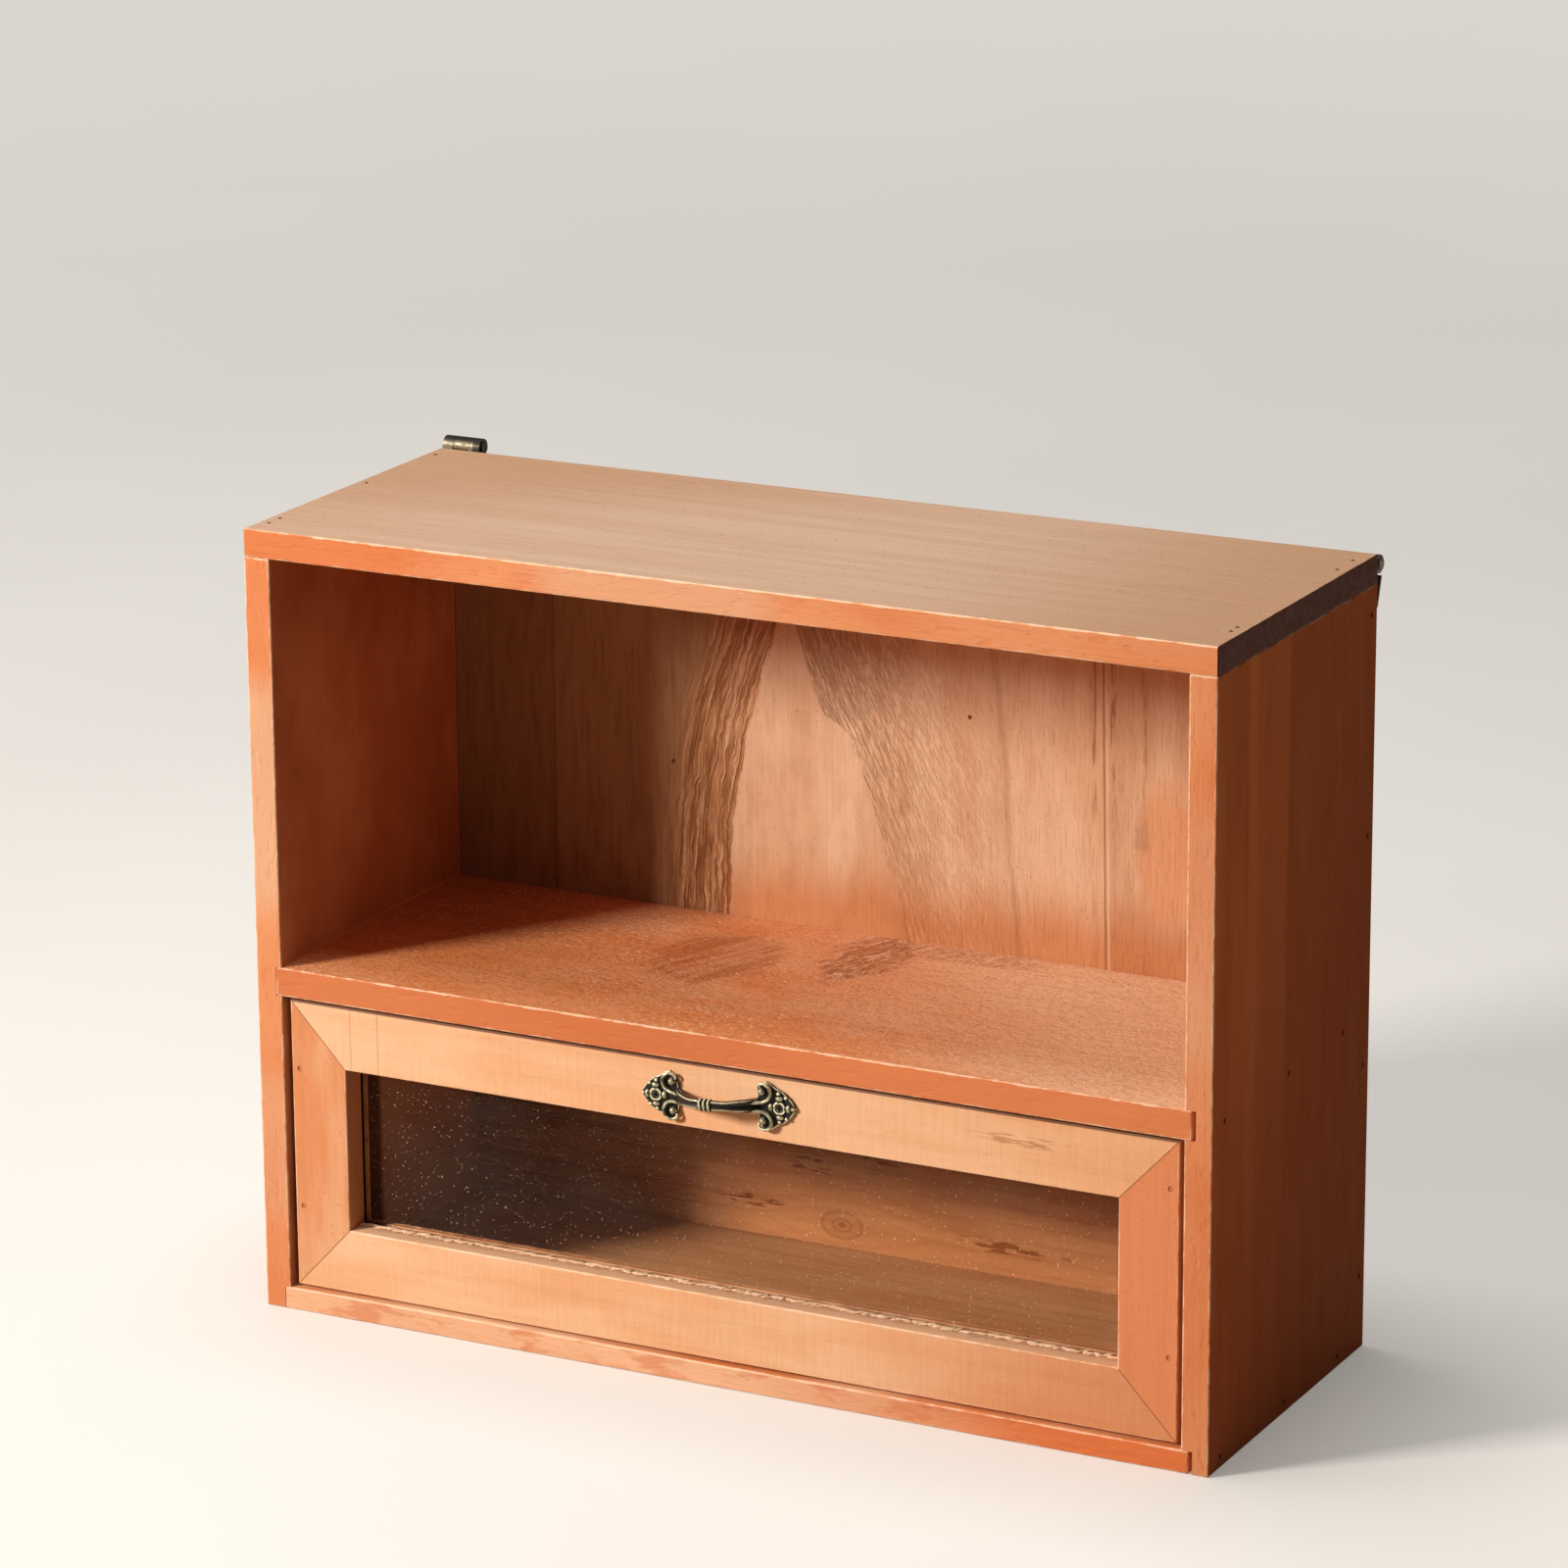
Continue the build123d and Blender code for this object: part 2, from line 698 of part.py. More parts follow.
def build():
    """Makes every node and writes it."""
    os.makedirs("parts", exist_ok=True)
    top_spots = top_nail_spots()
    shelf_spots = board_end_spots((shelf_underside + shelf_top) / 2)
    bottom_spots = board_end_spots(bottom_thickness / 2)
    back_spots = back_nail_spots()
    stile_spots = stile_nail_spots()
    box_spots = box_nail_spots()
    floor_spots = floor_nail_spots()
    pin_spots = glazing_pin_spots()
    sides = (-1, 1)
    ear_spots = [(offset, side) for side in sides for offset in ear_screw_offsets()]

    cabinet_holes = [nail_hole(s) for s in top_spots + shelf_spots + bottom_spots + back_spots]
    cabinet_holes += [ear_screw_body(offset, side, nail_clearance) for offset, side in ear_spots]
    drawer_holes = [nail_hole(s) for s in stile_spots + box_spots + floor_spots]
    drawer_holes += [glazing_pin_hole(s) for s in pin_spots]
    drawer_holes += [handle_screw_hole(side) for side in sides]

    cabinet = {
        "top_board": top_board(),
        "left_side": side_board(left_face, inner_left, left_housing_depth),
        "right_side": side_board(right_face, inner_right, right_housing_depth),
        "bottom_board": housed_board(0, bottom_thickness),
        "shelf_board": housed_board(shelf_underside, shelf_thickness),
        "back_panel": back_panel(),
    }
    for name, wood in cabinet.items():
        write(name, [drill(wood, cabinet_holes)])

    drawer = {
        **frame_members(),
        **glazing_strips(),
        "drawer_left_side": drawer_side(drawer_left, drawer_left + drawer_side_thickness),
        "drawer_right_side": drawer_side(drawer_right, drawer_right - drawer_side_thickness),
        "drawer_back": drawer_back(),
        "drawer_bottom": drawer_bottom(),
    }
    for name, wood in drawer.items():
        write(name, [drill(wood, drawer_holes)])
    write("glass_pane", [glass_pane()])
    write("handle", [handle()])
    write("handle_screws", [handle_screw(side) for side in sides])

    write("top_nails", [nail(s) for s in top_spots])
    write("shelf_nails", [nail(s) for s in shelf_spots])
    write("bottom_nails", [nail(s) for s in bottom_spots])
    write("back_nails", [nail(s) for s in back_spots])
    write("drawer_front_nails", [nail(s) for s in stile_spots])
    write("drawer_back_nails", [nail(s) for s in box_spots])
    write("drawer_floor_nails", [nail(s) for s in floor_spots])
    write("glazing_pins", [glazing_pin(s) for s in pin_spots])

    for name, side in (("left", -1), ("right", 1)):
        write(f"{name}_ear_fixed_leaf", [fixed_leaf(side)])
        write(f"{name}_ear_free_leaf", [free_leaf(side)])
        write(f"{name}_ear_pin", [ear_pin(side)])
    write("ear_screws", [ear_screw(offset, side) for offset, side in ear_spots])
    print("free leaf leans", round(hanging_lean(), 3), "degrees at rest")


build()
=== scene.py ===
import math
import random

import bmesh
import bpy
import numpy as np
from bpy.props import FloatProperty, FloatVectorProperty, PointerProperty
from bpy.types import Operator, Panel, PropertyGroup
from mathutils import Matrix, Vector


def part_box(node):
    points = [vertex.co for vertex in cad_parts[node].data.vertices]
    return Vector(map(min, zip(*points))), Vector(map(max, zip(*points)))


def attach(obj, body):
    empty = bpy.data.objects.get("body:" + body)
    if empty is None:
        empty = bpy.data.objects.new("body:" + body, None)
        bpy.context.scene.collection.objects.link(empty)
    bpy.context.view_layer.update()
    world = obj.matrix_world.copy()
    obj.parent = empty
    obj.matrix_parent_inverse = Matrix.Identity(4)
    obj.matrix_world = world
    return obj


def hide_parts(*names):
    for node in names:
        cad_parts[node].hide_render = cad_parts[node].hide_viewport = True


bl_info = {
    "name": "Desktop Storage Box",
    "version": (1, 0, 0),
    "blender": (4, 5, 0),
    "location": "3D View > Sidebar > Storage Box",
    "description": "Finishes and fine pieces of a wooden box with an open shelf and a glazed drawer",
    "category": "Object",
}

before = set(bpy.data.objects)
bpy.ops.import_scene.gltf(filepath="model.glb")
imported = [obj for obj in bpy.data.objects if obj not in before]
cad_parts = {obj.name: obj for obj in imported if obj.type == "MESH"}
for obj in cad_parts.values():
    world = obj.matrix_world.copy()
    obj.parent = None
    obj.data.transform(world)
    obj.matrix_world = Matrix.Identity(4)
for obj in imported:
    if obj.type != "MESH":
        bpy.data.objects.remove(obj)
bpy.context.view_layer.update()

MM = 0.001
ANYWHERE = 1.0e6
PORE_DEPTH = 0.05
SAW_DEPTH = 0.02
DENT_DEPTH = 0.12
VARNISH_SPECULAR = 0.22
DULL_ROUGHNESS = 0.3


def linear(step):
    """One display step of 0 to 255, as linear light."""
    level = step / 255
    return level / 12.92 if level <= 0.04045 else ((level + 0.055) / 1.055) ** 2.4


def paint(name, description, *steps):
    """A colour that a user can set, its default given in display steps."""
    default = [linear(step) for step in steps]
    return FloatVectorProperty(
        name=name, description=description, default=default, subtype="COLOR", min=0, max=1
    )


def length(name, description, default):
    """A length that a user can set, its default given in millimetres."""
    return FloatProperty(
        name=name, description=description, default=default * MM, subtype="DISTANCE",
        unit="LENGTH", precision=5,
    )


def angle(name, description, default):
    """An angle that a user can set, its default given in degrees."""
    return FloatProperty(
        name=name, description=description, default=math.radians(default), subtype="ANGLE",
        unit="ROTATION",
    )


def share(name, description, default):
    """A share between nothing and all."""
    return FloatProperty(
        name=name, description=description, default=default, subtype="FACTOR", min=0, max=1
    )


def watts(name, description, default):
    """The power of a lamp."""
    return FloatProperty(name=name, description=description, default=default, unit="POWER", min=0)


class WoodSettings(PropertyGroup):
    """Stain and wear of the boards, with some painted shade, light and sheen."""

    edge_pale: paint("Edge, pale", "Front edges where the stain is thin", 228, 154, 108)
    edge_deep: paint("Edge, deep", "Front edges where the stain is deep", 218, 126, 78)
    edge_bare: paint("Edge, bare", "Front edges where the stain is rubbed thin", 226, 181, 146)
    # The upper face's colours carry a painted sheen: greyer in the middle, warmer towards its ends.
    top_pale: paint("Top, pale", "Upper face, pale streaks", 210, 174, 148)
    top_deep: paint("Top, deep", "Upper face, deep streaks", 204, 166, 138)
    top_warm: paint("Top, warm", "Upper face towards its ends", 190, 146, 112)
    top_end: paint("Top, end grain", "The top board's ends", 92, 44, 20)
    side_pale: paint("Side, pale", "Outer faces, pale staves", 248, 148, 84)
    side_deep: paint("Side, deep", "Outer faces, deep staves", 222, 122, 62)
    side_dark: paint("Side, dark", "Outer faces, low and towards the back", 184, 96, 48)
    inner_pale: paint("Inner side, pale", "Inner faces of the sides", 202, 142, 102)
    inner_deep: paint("Inner side, deep", "Inner faces of the sides", 184, 120, 82)
    back_pale: paint("Back, pale", "Smooth wood of the back panel", 222, 182, 150)
    back_deep: paint("Back, deep", "Deep patches of the back panel", 212, 166, 132)
    # Painted shade on the back's left, where the left side's shadow falls, over the staves' own brown; also
    # the back's outer face.
    back_brown_and_shade: paint("Back, brown", "Left staves of the back panel", 162, 122, 84)
    back_foot: paint("Back, foot", "Stain that gathered at the back's foot", 198, 126, 78)
    back_band: paint("Back, torn band", "Torn grain beside the pale flame", 206, 142, 92)
    back_stave: paint("Back, left stave", "The back's left stave", 130, 88, 58)
    back_smudge: paint("Back, smudge", "A warm smudge on the back's right stave", 214, 138, 86)
    back_grey: paint("Back, grey", "A grey fleck inside the smudge", 158, 122, 92)
    shelf_pale: paint("Shelf, pale", "Shelf where the stain is thin", 250, 206, 166)
    shelf_deep: paint("Shelf, deep", "Shelf where the stain is deep", 228, 138, 78)
    shelf_even: paint("Shelf, even", "Stain that evens the shelf out", 236, 154, 98)
    # Painted sheen: the shelf paler at its back right, where it catches the light.
    shelf_painted_sheen: paint("Shelf, bleached", "Shelf at its back right", 255, 224, 186)
    shelf_shaded: paint("Shelf, shaded", "Shelf at its back left", 178, 132, 94)
    shelf_lip: paint("Shelf, lip", "Left half of the shelf's front edge", 206, 116, 70)
    shelf_figure: paint("Shelf, figure", "Smooth dark figure on the shelf", 176, 92, 50)
    shelf_torn: paint("Shelf, torn", "Torn grain on the shelf", 204, 116, 66)
    foot_pale: paint("Foot edge, pale", "Bottom board's front edge, left", 246, 190, 150)
    foot_deep: paint("Foot edge, deep", "Bottom board's front edge, right", 230, 122, 66)
    rail_pale: paint("Rail, pale", "Drawer rails where they are pale", 246, 196, 155)
    rail_deep: paint("Rail, deep", "Drawer rails where they are deep", 239, 176, 129)
    stile_pale: paint("Stile, pale", "Drawer stiles where they are pale", 230, 170, 128)
    stile_deep: paint("Stile, deep", "Drawer stiles where they are deep", 220, 144, 98)
    stile_right: paint("Stile, right", "The drawer's right stile", 226, 138, 92)
    box_pale: paint("Drawer box, pale", "Wood inside the drawer", 186, 130, 88)
    box_deep: paint("Drawer box, deep", "Wood inside the drawer", 158, 99, 58)
    box_floor: paint("Drawer box, floor", "The drawer's floor", 182, 138, 99)
    # Painted light: paler and warmer than the drawer's other wood, as light thrown onto its shaded left
    # side.
    box_left: paint("Drawer box, left", "The drawer's left side", 206, 144, 98)
    box_band: paint("Drawer box, band", "Pale grain low on the drawer's back", 206, 148, 102)
    # Painted shade: the drawer's left side darkened just behind the frame's left end.
    box_corner_shade: paint("Drawer box, corner", "Grime behind the frame's left end", 74, 30, 12)
    # Painted shadow: dark along the top of the drawer's front, where the shelf shades the gap.
    gap: paint("Gap", "Top of the drawer's front, under the shelf", 78, 30, 6)
    worn: paint("Worn arris", "Bare wood along rubbed arrises", 255, 222, 188)
    pore: paint("Pores", "Specks, joints and end grain", 112, 58, 32)
    # Also the colour that painted shade is multiplied by.
    grain: paint("Grain", "What dark grain lets through of the colour", 178, 142, 97)
    worn_width: length("Worn width", "How far wear reaches in from an arris", 0.8)


class HandleSettings(PropertyGroup):
    """Sizes and colours of the cast handle."""

    hole_spacing: length("Hole spacing", "Between the two screws", 52.0)
    tilt: angle("Tilt", "How much the right end sits higher", 2.4)
    plate: length("Plate thickness", "End plates", 1.3)
    rib: length("Rib", "Radius of the scrolls' ribs", 0.66)
    detail: length("Cast detail", "Size of the finest cast detail", 0.152)
    recess: paint("Recess", "Dark patina in the recesses", 22, 17, 12)
    metal: paint("Metal", "Aged bronze", 54, 44, 31)
    # Rubbed ridges with a painted highlight.
    ridge: paint("Ridge", "Rubbed ridges", 238, 228, 188)
    screw: paint("Screw", "Worn heads of the handle's screws", 104, 98, 88)
    grime: paint("Grime", "What fills the crosses of the screws", 12, 9, 7)


class HardwareSettings(PropertyGroup):
    """Finish of the ears, the screws and the brads."""

    brass: paint("Brass", "Ears where they are bright", 126, 115, 94)
    tarnish: paint("Tarnish", "Ears where they are dull", 54, 46, 34)
    shade: paint("Shade", "Tops and inner ends of the ears", 20, 18, 14)
    steel: paint("Steel", "Sunk heads of the brads", 34, 24, 18)
    filled: paint("Filled", "Brads under filler, in the drawer's front", 180, 112, 72)


class GlassSettings(PropertyGroup):
    """Finish of the pane."""

    tint: paint("Tint", "Colour of the glass", 240, 231, 218)
    haze: paint("Haze", "Dust on the pane", 214, 186, 154)
    cover: share("Cover", "Share of the pane that dust hides", 0.006)


class StageSettings(PropertyGroup):
    """Camera, lamps and floor."""

    azimuth: angle("Azimuth", "Camera turned to the right of the front", 27.359)
    elevation: angle("Elevation", "Camera above the horizon", 16.17)
    roll: angle("Roll", "Camera rolled about its view", -0.42)
    distance: length("Distance", "From the camera to its aim", 2382.7)
    aim_side: length("Aim, side", "Where the camera looks, to the right", -9.39)
    aim_height: length("Aim, height", "Where the camera looks, above the floor", 216.43)
    lens: FloatProperty(name="Lens", description="Focal length", default=144.8, unit="CAMERA")
    floor: paint("Floor", "Plain floor", 214, 210, 204)
    bounce: paint("Bounce", "How the floor throws light back", 166, 140, 116)
    backlight: share("Backlight", "How far the floor is lit for the camera alone", 0.34)
    key: watts("Key", "Warm lamp at the front left", 80.0)
    key_bearing: angle("Key bearing", "Where the key shines, right of straight back", 41.2)
    key_height: angle("Key height", "How steeply the key shines down", 21.3)
    key_away: length("Key distance", "From the key to the box", 2600.0)
    top: watts("Top", "Soft lamp overhead", 27.0)
    fill: FloatProperty(name="Fill", description="Strength of the even light", default=0.09)


class StorageBoxSettings(PropertyGroup):
    """Everything that a user would change."""

    wood: PointerProperty(type=WoodSettings)
    handle: PointerProperty(type=HandleSettings)
    hardware: PointerProperty(type=HardwareSettings)
    glass: PointerProperty(type=GlassSettings)
    stage: PointerProperty(type=StageSettings)


def rgba(colour):
    """A colour as a socket takes it."""
    return (*colour, 1.0)


class Tree:
    """The nodes of one material. Its places and lengths are in millimetres."""

    def __init__(self, name):
        self.material = bpy.data.materials.new(name)
        self.material.use_nodes = True
        self.tree = self.material.node_tree
        self.tree.nodes.clear()
        place = self.node("ShaderNodeTexCoord").outputs["Object"]
        scaled = self.vector("SCALE", place)
        scaled.inputs["Scale"].default_value = 1 / MM
        self.place = scaled.outputs[0]
        self.x, self.y, self.z = self.node("ShaderNodeSeparateXYZ", self.place).outputs

    def put(self, socket, value):
        """Joins a socket to another, or gives it a value."""
        if isinstance(value, bpy.types.NodeSocket):
            self.tree.links.new(value, socket)
        elif value is not None:
            socket.default_value = value

    def node(self, kind, *values, **options):
        """One node, its sockets filled in order."""
        node = self.tree.nodes.new(kind)
        for name, value in options.items():
            setattr(node, name, value)
        for socket, value in zip(node.inputs, values):
            self.put(socket, value)
        return node

    def math(self, operation, *values):
        """The result of one sum."""
        return self.node("ShaderNodeMath", *values, operation=operation).outputs[0]

    def vector(self, operation, *values):
        """The node of one sum of vectors."""
        return self.node("ShaderNodeVectorMath", *values, operation=operation)

    def sum(self, first, second):
        """Two numbers added."""
        return self.math("ADD", first, second)

    def less(self, first, second):
        """One number less another."""
        return self.math("SUBTRACT", first, second)

    def times(self, first, second):
        """Two numbers multiplied."""
        return self.math("MULTIPLY", first, second)

    def least(self, first, second):
        """The smaller of two numbers."""
        return self.math("MINIMUM", first, second)

    def most(self, first, second):
        """The larger of two numbers."""
        return self.math("MAXIMUM", first, second)

    def outside_of(self, mask):
        """Where a mask doesn't hold."""
        return self.less(1.0, mask)

    def all_of(self, *masks):
        """Where every mask holds."""
        result = masks[0]
        for mask in masks[1:]:
            result = self.times(result, mask)
        return result

    def ramp(self, value, start, end, first=0.0, last=1.0):
        """A smooth step from one value to another."""
        step = self.node(
            "ShaderNodeMapRange", value, start, end, first, last, interpolation_type="SMOOTHSTEP"
        )
        return step.outputs[0]

    def curve(self, value, points):
        """A smooth line through pairs of a value and its result."""
        first, last = points[0][0], points[-1][0]
        results = [result for _, result in points]
        lowest, highest = min(results), max(results)
        spread = self.node("ShaderNodeMapRange", value, first, last).outputs[0]
        node = self.node("ShaderNodeFloatCurve", 1.0, spread)
        line = node.mapping.curves[0]
        spots = [
            ((place - first) / (last - first), (result - lowest) / (highest - lowest))
            for place, result in points
        ]
        line.points[0].location = spots[0]
        line.points[1].location = spots[-1]
        for spot in spots[1:-1]:
            line.points.new(*spot)
        node.mapping.update()
        return self.node("ShaderNodeMapRange", node.outputs[0], 0.0, 1.0, lowest, highest).outputs[0]

    def mix(self, mask, first, second, blend="MIX"):
        """Two colours mixed by a mask."""
        mixer = self.node("ShaderNodeMix", data_type="RGBA", blend_type=blend)
        for index, value in ((0, mask), (6, first), (7, second)):
            self.put(mixer.inputs[index], value)
        return mixer.outputs[2]

    def noise(self, grains, seed=0.0, detail=2.0, rough=0.5, bend=0.0, place=None):
        """Noise whose grains have one length, or a length along each axis."""
        lengths = (grains,) * 3 if isinstance(grains, float) else grains
        scale = tuple(1 / length for length in lengths)
        shift = (seed, seed * 1.7, seed * 0.6)
        spot = self.vector("MULTIPLY_ADD", place or self.place, scale, shift)
        noise = self.node("ShaderNodeTexNoise", spot.outputs[0], None, 1.0, detail, rough)
        noise.inputs["Distortion"].default_value = bend
        return noise.outputs[0]

    def join(self, x, y, z):
        """A vector from three numbers."""
        return self.node("ShaderNodeCombineXYZ", x, y, z).outputs[0]

    def far(self, centre, reach):
        """How far a place is from a centre, 1 at a reach along each axis."""
        offset = self.vector("SUBTRACT", self.place, centre).outputs[0]
        scaled = self.vector("DIVIDE", offset, reach).outputs[0]
        return self.vector("LENGTH", scaled).outputs["Value"]

    def spot(self, centre, reach, wobble=0.0, size=12.0):
        """A soft-edged patch round a centre, with a reach along each axis."""
        distance = self.far(centre, reach)
        if wobble:
            ragged = self.noise(size, sum(centre) * 0.1, 3.0, 0.6)
            distance = self.sum(distance, self.times(self.less(ragged, 0.5), wobble))
        return self.ramp(distance, 1.2, 0.7)

    def bump(self, height):
        """A normal from a height in millimetres."""
        node = self.node("ShaderNodeBump")
        node.inputs["Strength"].default_value = 1.0
        node.inputs["Distance"].default_value = MM
        self.put(node.inputs["Height"], height)
        return node.outputs[0]

    def principled(self, colour, rough, normal=None, **constants):
        """The shader. What is the same all over is set on its own sockets."""
        shader = self.node("ShaderNodeBsdfPrincipled")
        self.put(shader.inputs["Base Color"], colour)
        self.put(shader.inputs["Roughness"], rough)
        self.put(shader.inputs["Normal"], normal)
        for name, value in constants.items():
            self.put(shader.inputs[name.replace("_", " ")], value)
        return shader.outputs[0]

    def output(self, shader):
        """Ends the tree and gives its material."""
        self.node("ShaderNodeOutputMaterial", shader)
        return self.material


class Wood(Tree):
    """The material of one board, laid on in layers."""

    def __init__(self, node, grain, seed):
        super().__init__(f"{node}_finish")
        self.settings = bpy.context.scene.storage_box.wood
        low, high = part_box(node)
        self.start = [value / MM for value in low]
        self.end = [value / MM for value in high]
        self.axis = "XYZ".index(grain)
        self.seed = seed
        self.layer = 0
        self.colour = None
        self.height = None
        places = (self.x, self.y, self.z)
        self.margins = [
            self.least(self.less(place, start), self.less(end, place))
            for place, start, end in zip(places, self.start, self.end)
        ]

    def gap(self, place, at):
        """How far a place is from a value, either way."""
        return self.math("ABSOLUTE", self.less(place, at))

    def on_face(self, place, at):
        """A mask for the face of the board where a place has one value."""
        return self.ramp(self.gap(place, at), 0.5, 0.3)

    def new_seed(self, step):
        """A seed that no other layer of the board has."""
        self.layer += 1
        return self.seed + step * self.layer

    def along_grain(self, long, wide):
        """A length along the grain and another across it, as one for each axis."""
        lengths = [wide, wide, wide]
        lengths[self.axis] = long
        return lengths

    def field(self, long, wide, detail=2.0, rough=0.5, bend=0.0, place=None):
        """A new noise, drawn out along the grain."""
        grains = self.along_grain(long, wide)
        return self.noise(grains, self.new_seed(7.3), detail, rough, bend, place)

    def stain(self, pale, deep, long=70.0, wide=22.0, mask=None):
        """A stain that lies paler and deeper in patches, all over or where a mask says."""
        patches = self.ramp(self.field(long, wide, 3.0, 0.55), 0.36, 0.64)
        stained = self.mix(patches, rgba(pale), rgba(deep))
        self.colour = stained if mask is None else self.mix(mask, self.colour, stained)

    def wash(self, colour, *masks):
        """One more tone where every mask holds."""
        self.colour = self.mix(self.all_of(*masks), self.colour, rgba(colour))

    def deepen(self, *masks):
        """Darker and warmer where every mask holds, as stain in open grain, and as painted shade where a
        caller says so.
        """
        grain = rgba(self.settings.grain)
        self.colour = self.mix(self.all_of(*masks), self.colour, grain, "MULTIPLY")

    def sink(self, mask, depth):
        """Lowers the surface by a depth where a mask says."""
        lower = self.times(mask, -depth)
        self.height = lower if self.height is None else self.sum(self.height, lower)

    def fibres(self, amount, long=38.0, wide=0.45, depth=0.02):
        """Fine streaks along the grain."""
        streaks = self.ramp(self.field(long, wide, 3.0, 0.62), 0.36, 0.68)
        self.deepen(streaks, amount)
        self.sink(streaks, depth)

    def pores(self, amount, long=7.0, wide=0.5, cut=0.6, where=1.0):
        """Short dark dashes where pores are cut open."""
        dashes = self.ramp(self.field(long, wide, 2.0, 0.6), cut, cut + 0.09)
        mask = self.times(dashes, where)
        self.deepen(mask, amount)
        self.sink(mask, PORE_DEPTH)

    def torn(self, mask, amount, long, wide, depth, place=None, bend=0.4, pale=0.5):
        """Grain torn into short ridges, dark in its hollows and pale on its crests."""
        relief = self.field(long, wide, 3.0, 0.6, bend, place)
        hollow = self.times(self.ramp(relief, 0.54, 0.4), mask)
        crest = self.times(self.ramp(relief, 0.56, 0.68), mask)
        self.deepen(hollow, amount * 1.3)
        self.wash(self.settings.worn, crest, amount * pale)
        self.sink(hollow, depth)

    def rings(self, across, pitch, amount, where=1.0, width=0.35):
        """Dark latewood at a pitch across the rings."""
        phase = self.math("FRACT", self.math("DIVIDE", across, pitch))
        late = self.times(self.ramp(phase, 1 - width, 0.94), self.ramp(phase, 1.0, 0.96))
        self.deepen(late, where, amount)

    def wander(self, place, amount, long=160.0, wide=30.0):
        """A place that strays by up to an amount, as grain does."""
        stray = self.less(self.field(long, wide, 2.0), 0.5)
        return self.sum(place, self.times(stray, 2 * amount))

    def line(self, place, at, width, amount, colour=None):
        """A thin line where a place has one value."""
        mask = self.ramp(self.gap(place, at), width, width * 0.4)
        self.wash(colour or self.settings.pore, mask, amount)

    def front_edge(self):
        """The board's front edge, in the cabinet's edge colour."""
        face = self.on_face(self.y, self.start[1])
        patches = self.ramp(self.field(80.0, 40.0, 2.0), 0.25, 0.75)
        pale, deep = self.settings.edge_pale, self.settings.edge_deep
        self.colour = self.mix(face, self.colour, self.mix(patches, rgba(pale), rgba(deep)))
        dents = self.ramp(self.field(9.0, 3.5, 3.0, 0.6), 0.54, 0.7)
        self.wash(deep, face, dents, 0.4)
        self.sink(self.times(face, dents), DENT_DEPTH)
        return face

    def end_grain(self, amount, colour=None):
        """Darker where the grain is cut across."""
        mask = self.ramp(self.margins[self.axis], 0.5, 0.3)
        self.wash(colour or self.settings.pore, mask, amount)

    def worn(self, amount=0.85):
        """Bare wood along the arrises, broken up along them."""
        x, y, z = self.margins
        arris = self.most(self.least(x, y), self.least(self.most(x, y), z))
        ragged = self.noise(9.0, self.seed + 3.1, 4.0, 0.65)
        reach = self.ramp(ragged, 0.36, 0.66, 0.3, self.settings.worn_width / MM * 1.3)
        mask = self.ramp(arris, reach, self.times(reach, 0.45))
        self.wash(self.settings.worn, mask, amount)

    def specks(self, size, cut, colour, amount, where=1.0):
        """Small specks of dust or stain."""
        dots = self.noise(size, self.new_seed(5.9), 0.0)
        mask = self.times(self.ramp(dots, cut, cut + 0.04), where)
        self.wash(colour, mask, amount)

    def saw_marks(self, pitch, amount):
        """Faint marks left by a saw, across the grain."""
        marks = self.noise(self.along_grain(pitch, 26.0), self.new_seed(2.7), 2.0, 0.7)
        mask = self.ramp(marks, 0.42, 0.66)
        self.deepen(mask, amount)
        self.sink(mask, SAW_DEPTH)

    def finish(self, rough=0.5, spread=0.14, dull=None, **constants):
        """Ends the layers in a thin matt varnish, duller still where a mask says."""
        sheen = self.ramp(self.field(30.0, 3.0), 0.3, 0.7, rough - spread / 2, rough + spread / 2)
        if dull is not None:
            sheen = self.sum(sheen, self.times(dull, DULL_ROUGHNESS))
        constants.setdefault("Specular_IOR_Level", VARNISH_SPECULAR)
        shader = self.principled(self.colour, sheen, self.bump(self.height), **constants)
        return self.output(shader)


def dress(node, material):
    """Gives a CAD node its material."""
    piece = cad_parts[node]
    if not piece.material_slots:
        piece.data.materials.append(material)
    for slot in piece.material_slots:
        slot.material = material


def dress_top_board():
    """Straight fine grain, greyer in the middle with a painted sheen."""
    wood = Wood("top_board", "X", 1.0)
    s = wood.settings
    wood.stain(s.side_pale, s.side_deep)
    upper = wood.on_face(wood.z, wood.end[2])
    # The upper face's own streaked tone, made greyer than the edges as a painted sheen.
    wood.stain(s.top_pale, s.top_deep, 260.0, 6.0, upper)
    # Warmer towards the back left and the right end, where the painted sheen fades.
    behind = wood.ramp(wood.sum(wood.y, wood.times(wood.x, -0.6)), 20.0, 150.0, 0.0, 0.8)
    wood.wash(s.top_warm, upper, behind)
    wood.wash(s.top_warm, upper, wood.ramp(wood.x, 40.0, 190.0, 0.0, 0.85))
    edge = wood.front_edge()
    wood.wash(s.edge_deep, edge, wood.ramp(wood.x, -90.0, -150.0, 0.0, 0.75))
    bare = wood.spot((-25.0, wood.start[1], 307.0), (50.0, ANYWHERE, 40.0), 0.4, 40.0)
    wood.wash(s.edge_bare, edge, bare, 0.5)
    lines = wood.wander(wood.sum(wood.y, wood.times(wood.z, 0.3)), 2.0)
    wood.rings(lines, 5.2, 0.05)
    wood.fibres(0.1, 60.0, 0.5)
    wood.pores(0.12, 11.0, 0.4, 0.62)
    wood.specks(1.3, 0.77, s.pore, 0.6, upper)
    wood.worn(0.55)
    wood.end_grain(0.95, s.top_end)
    dress("top_board", wood.finish(0.5, Specular_IOR_Level=0.06))


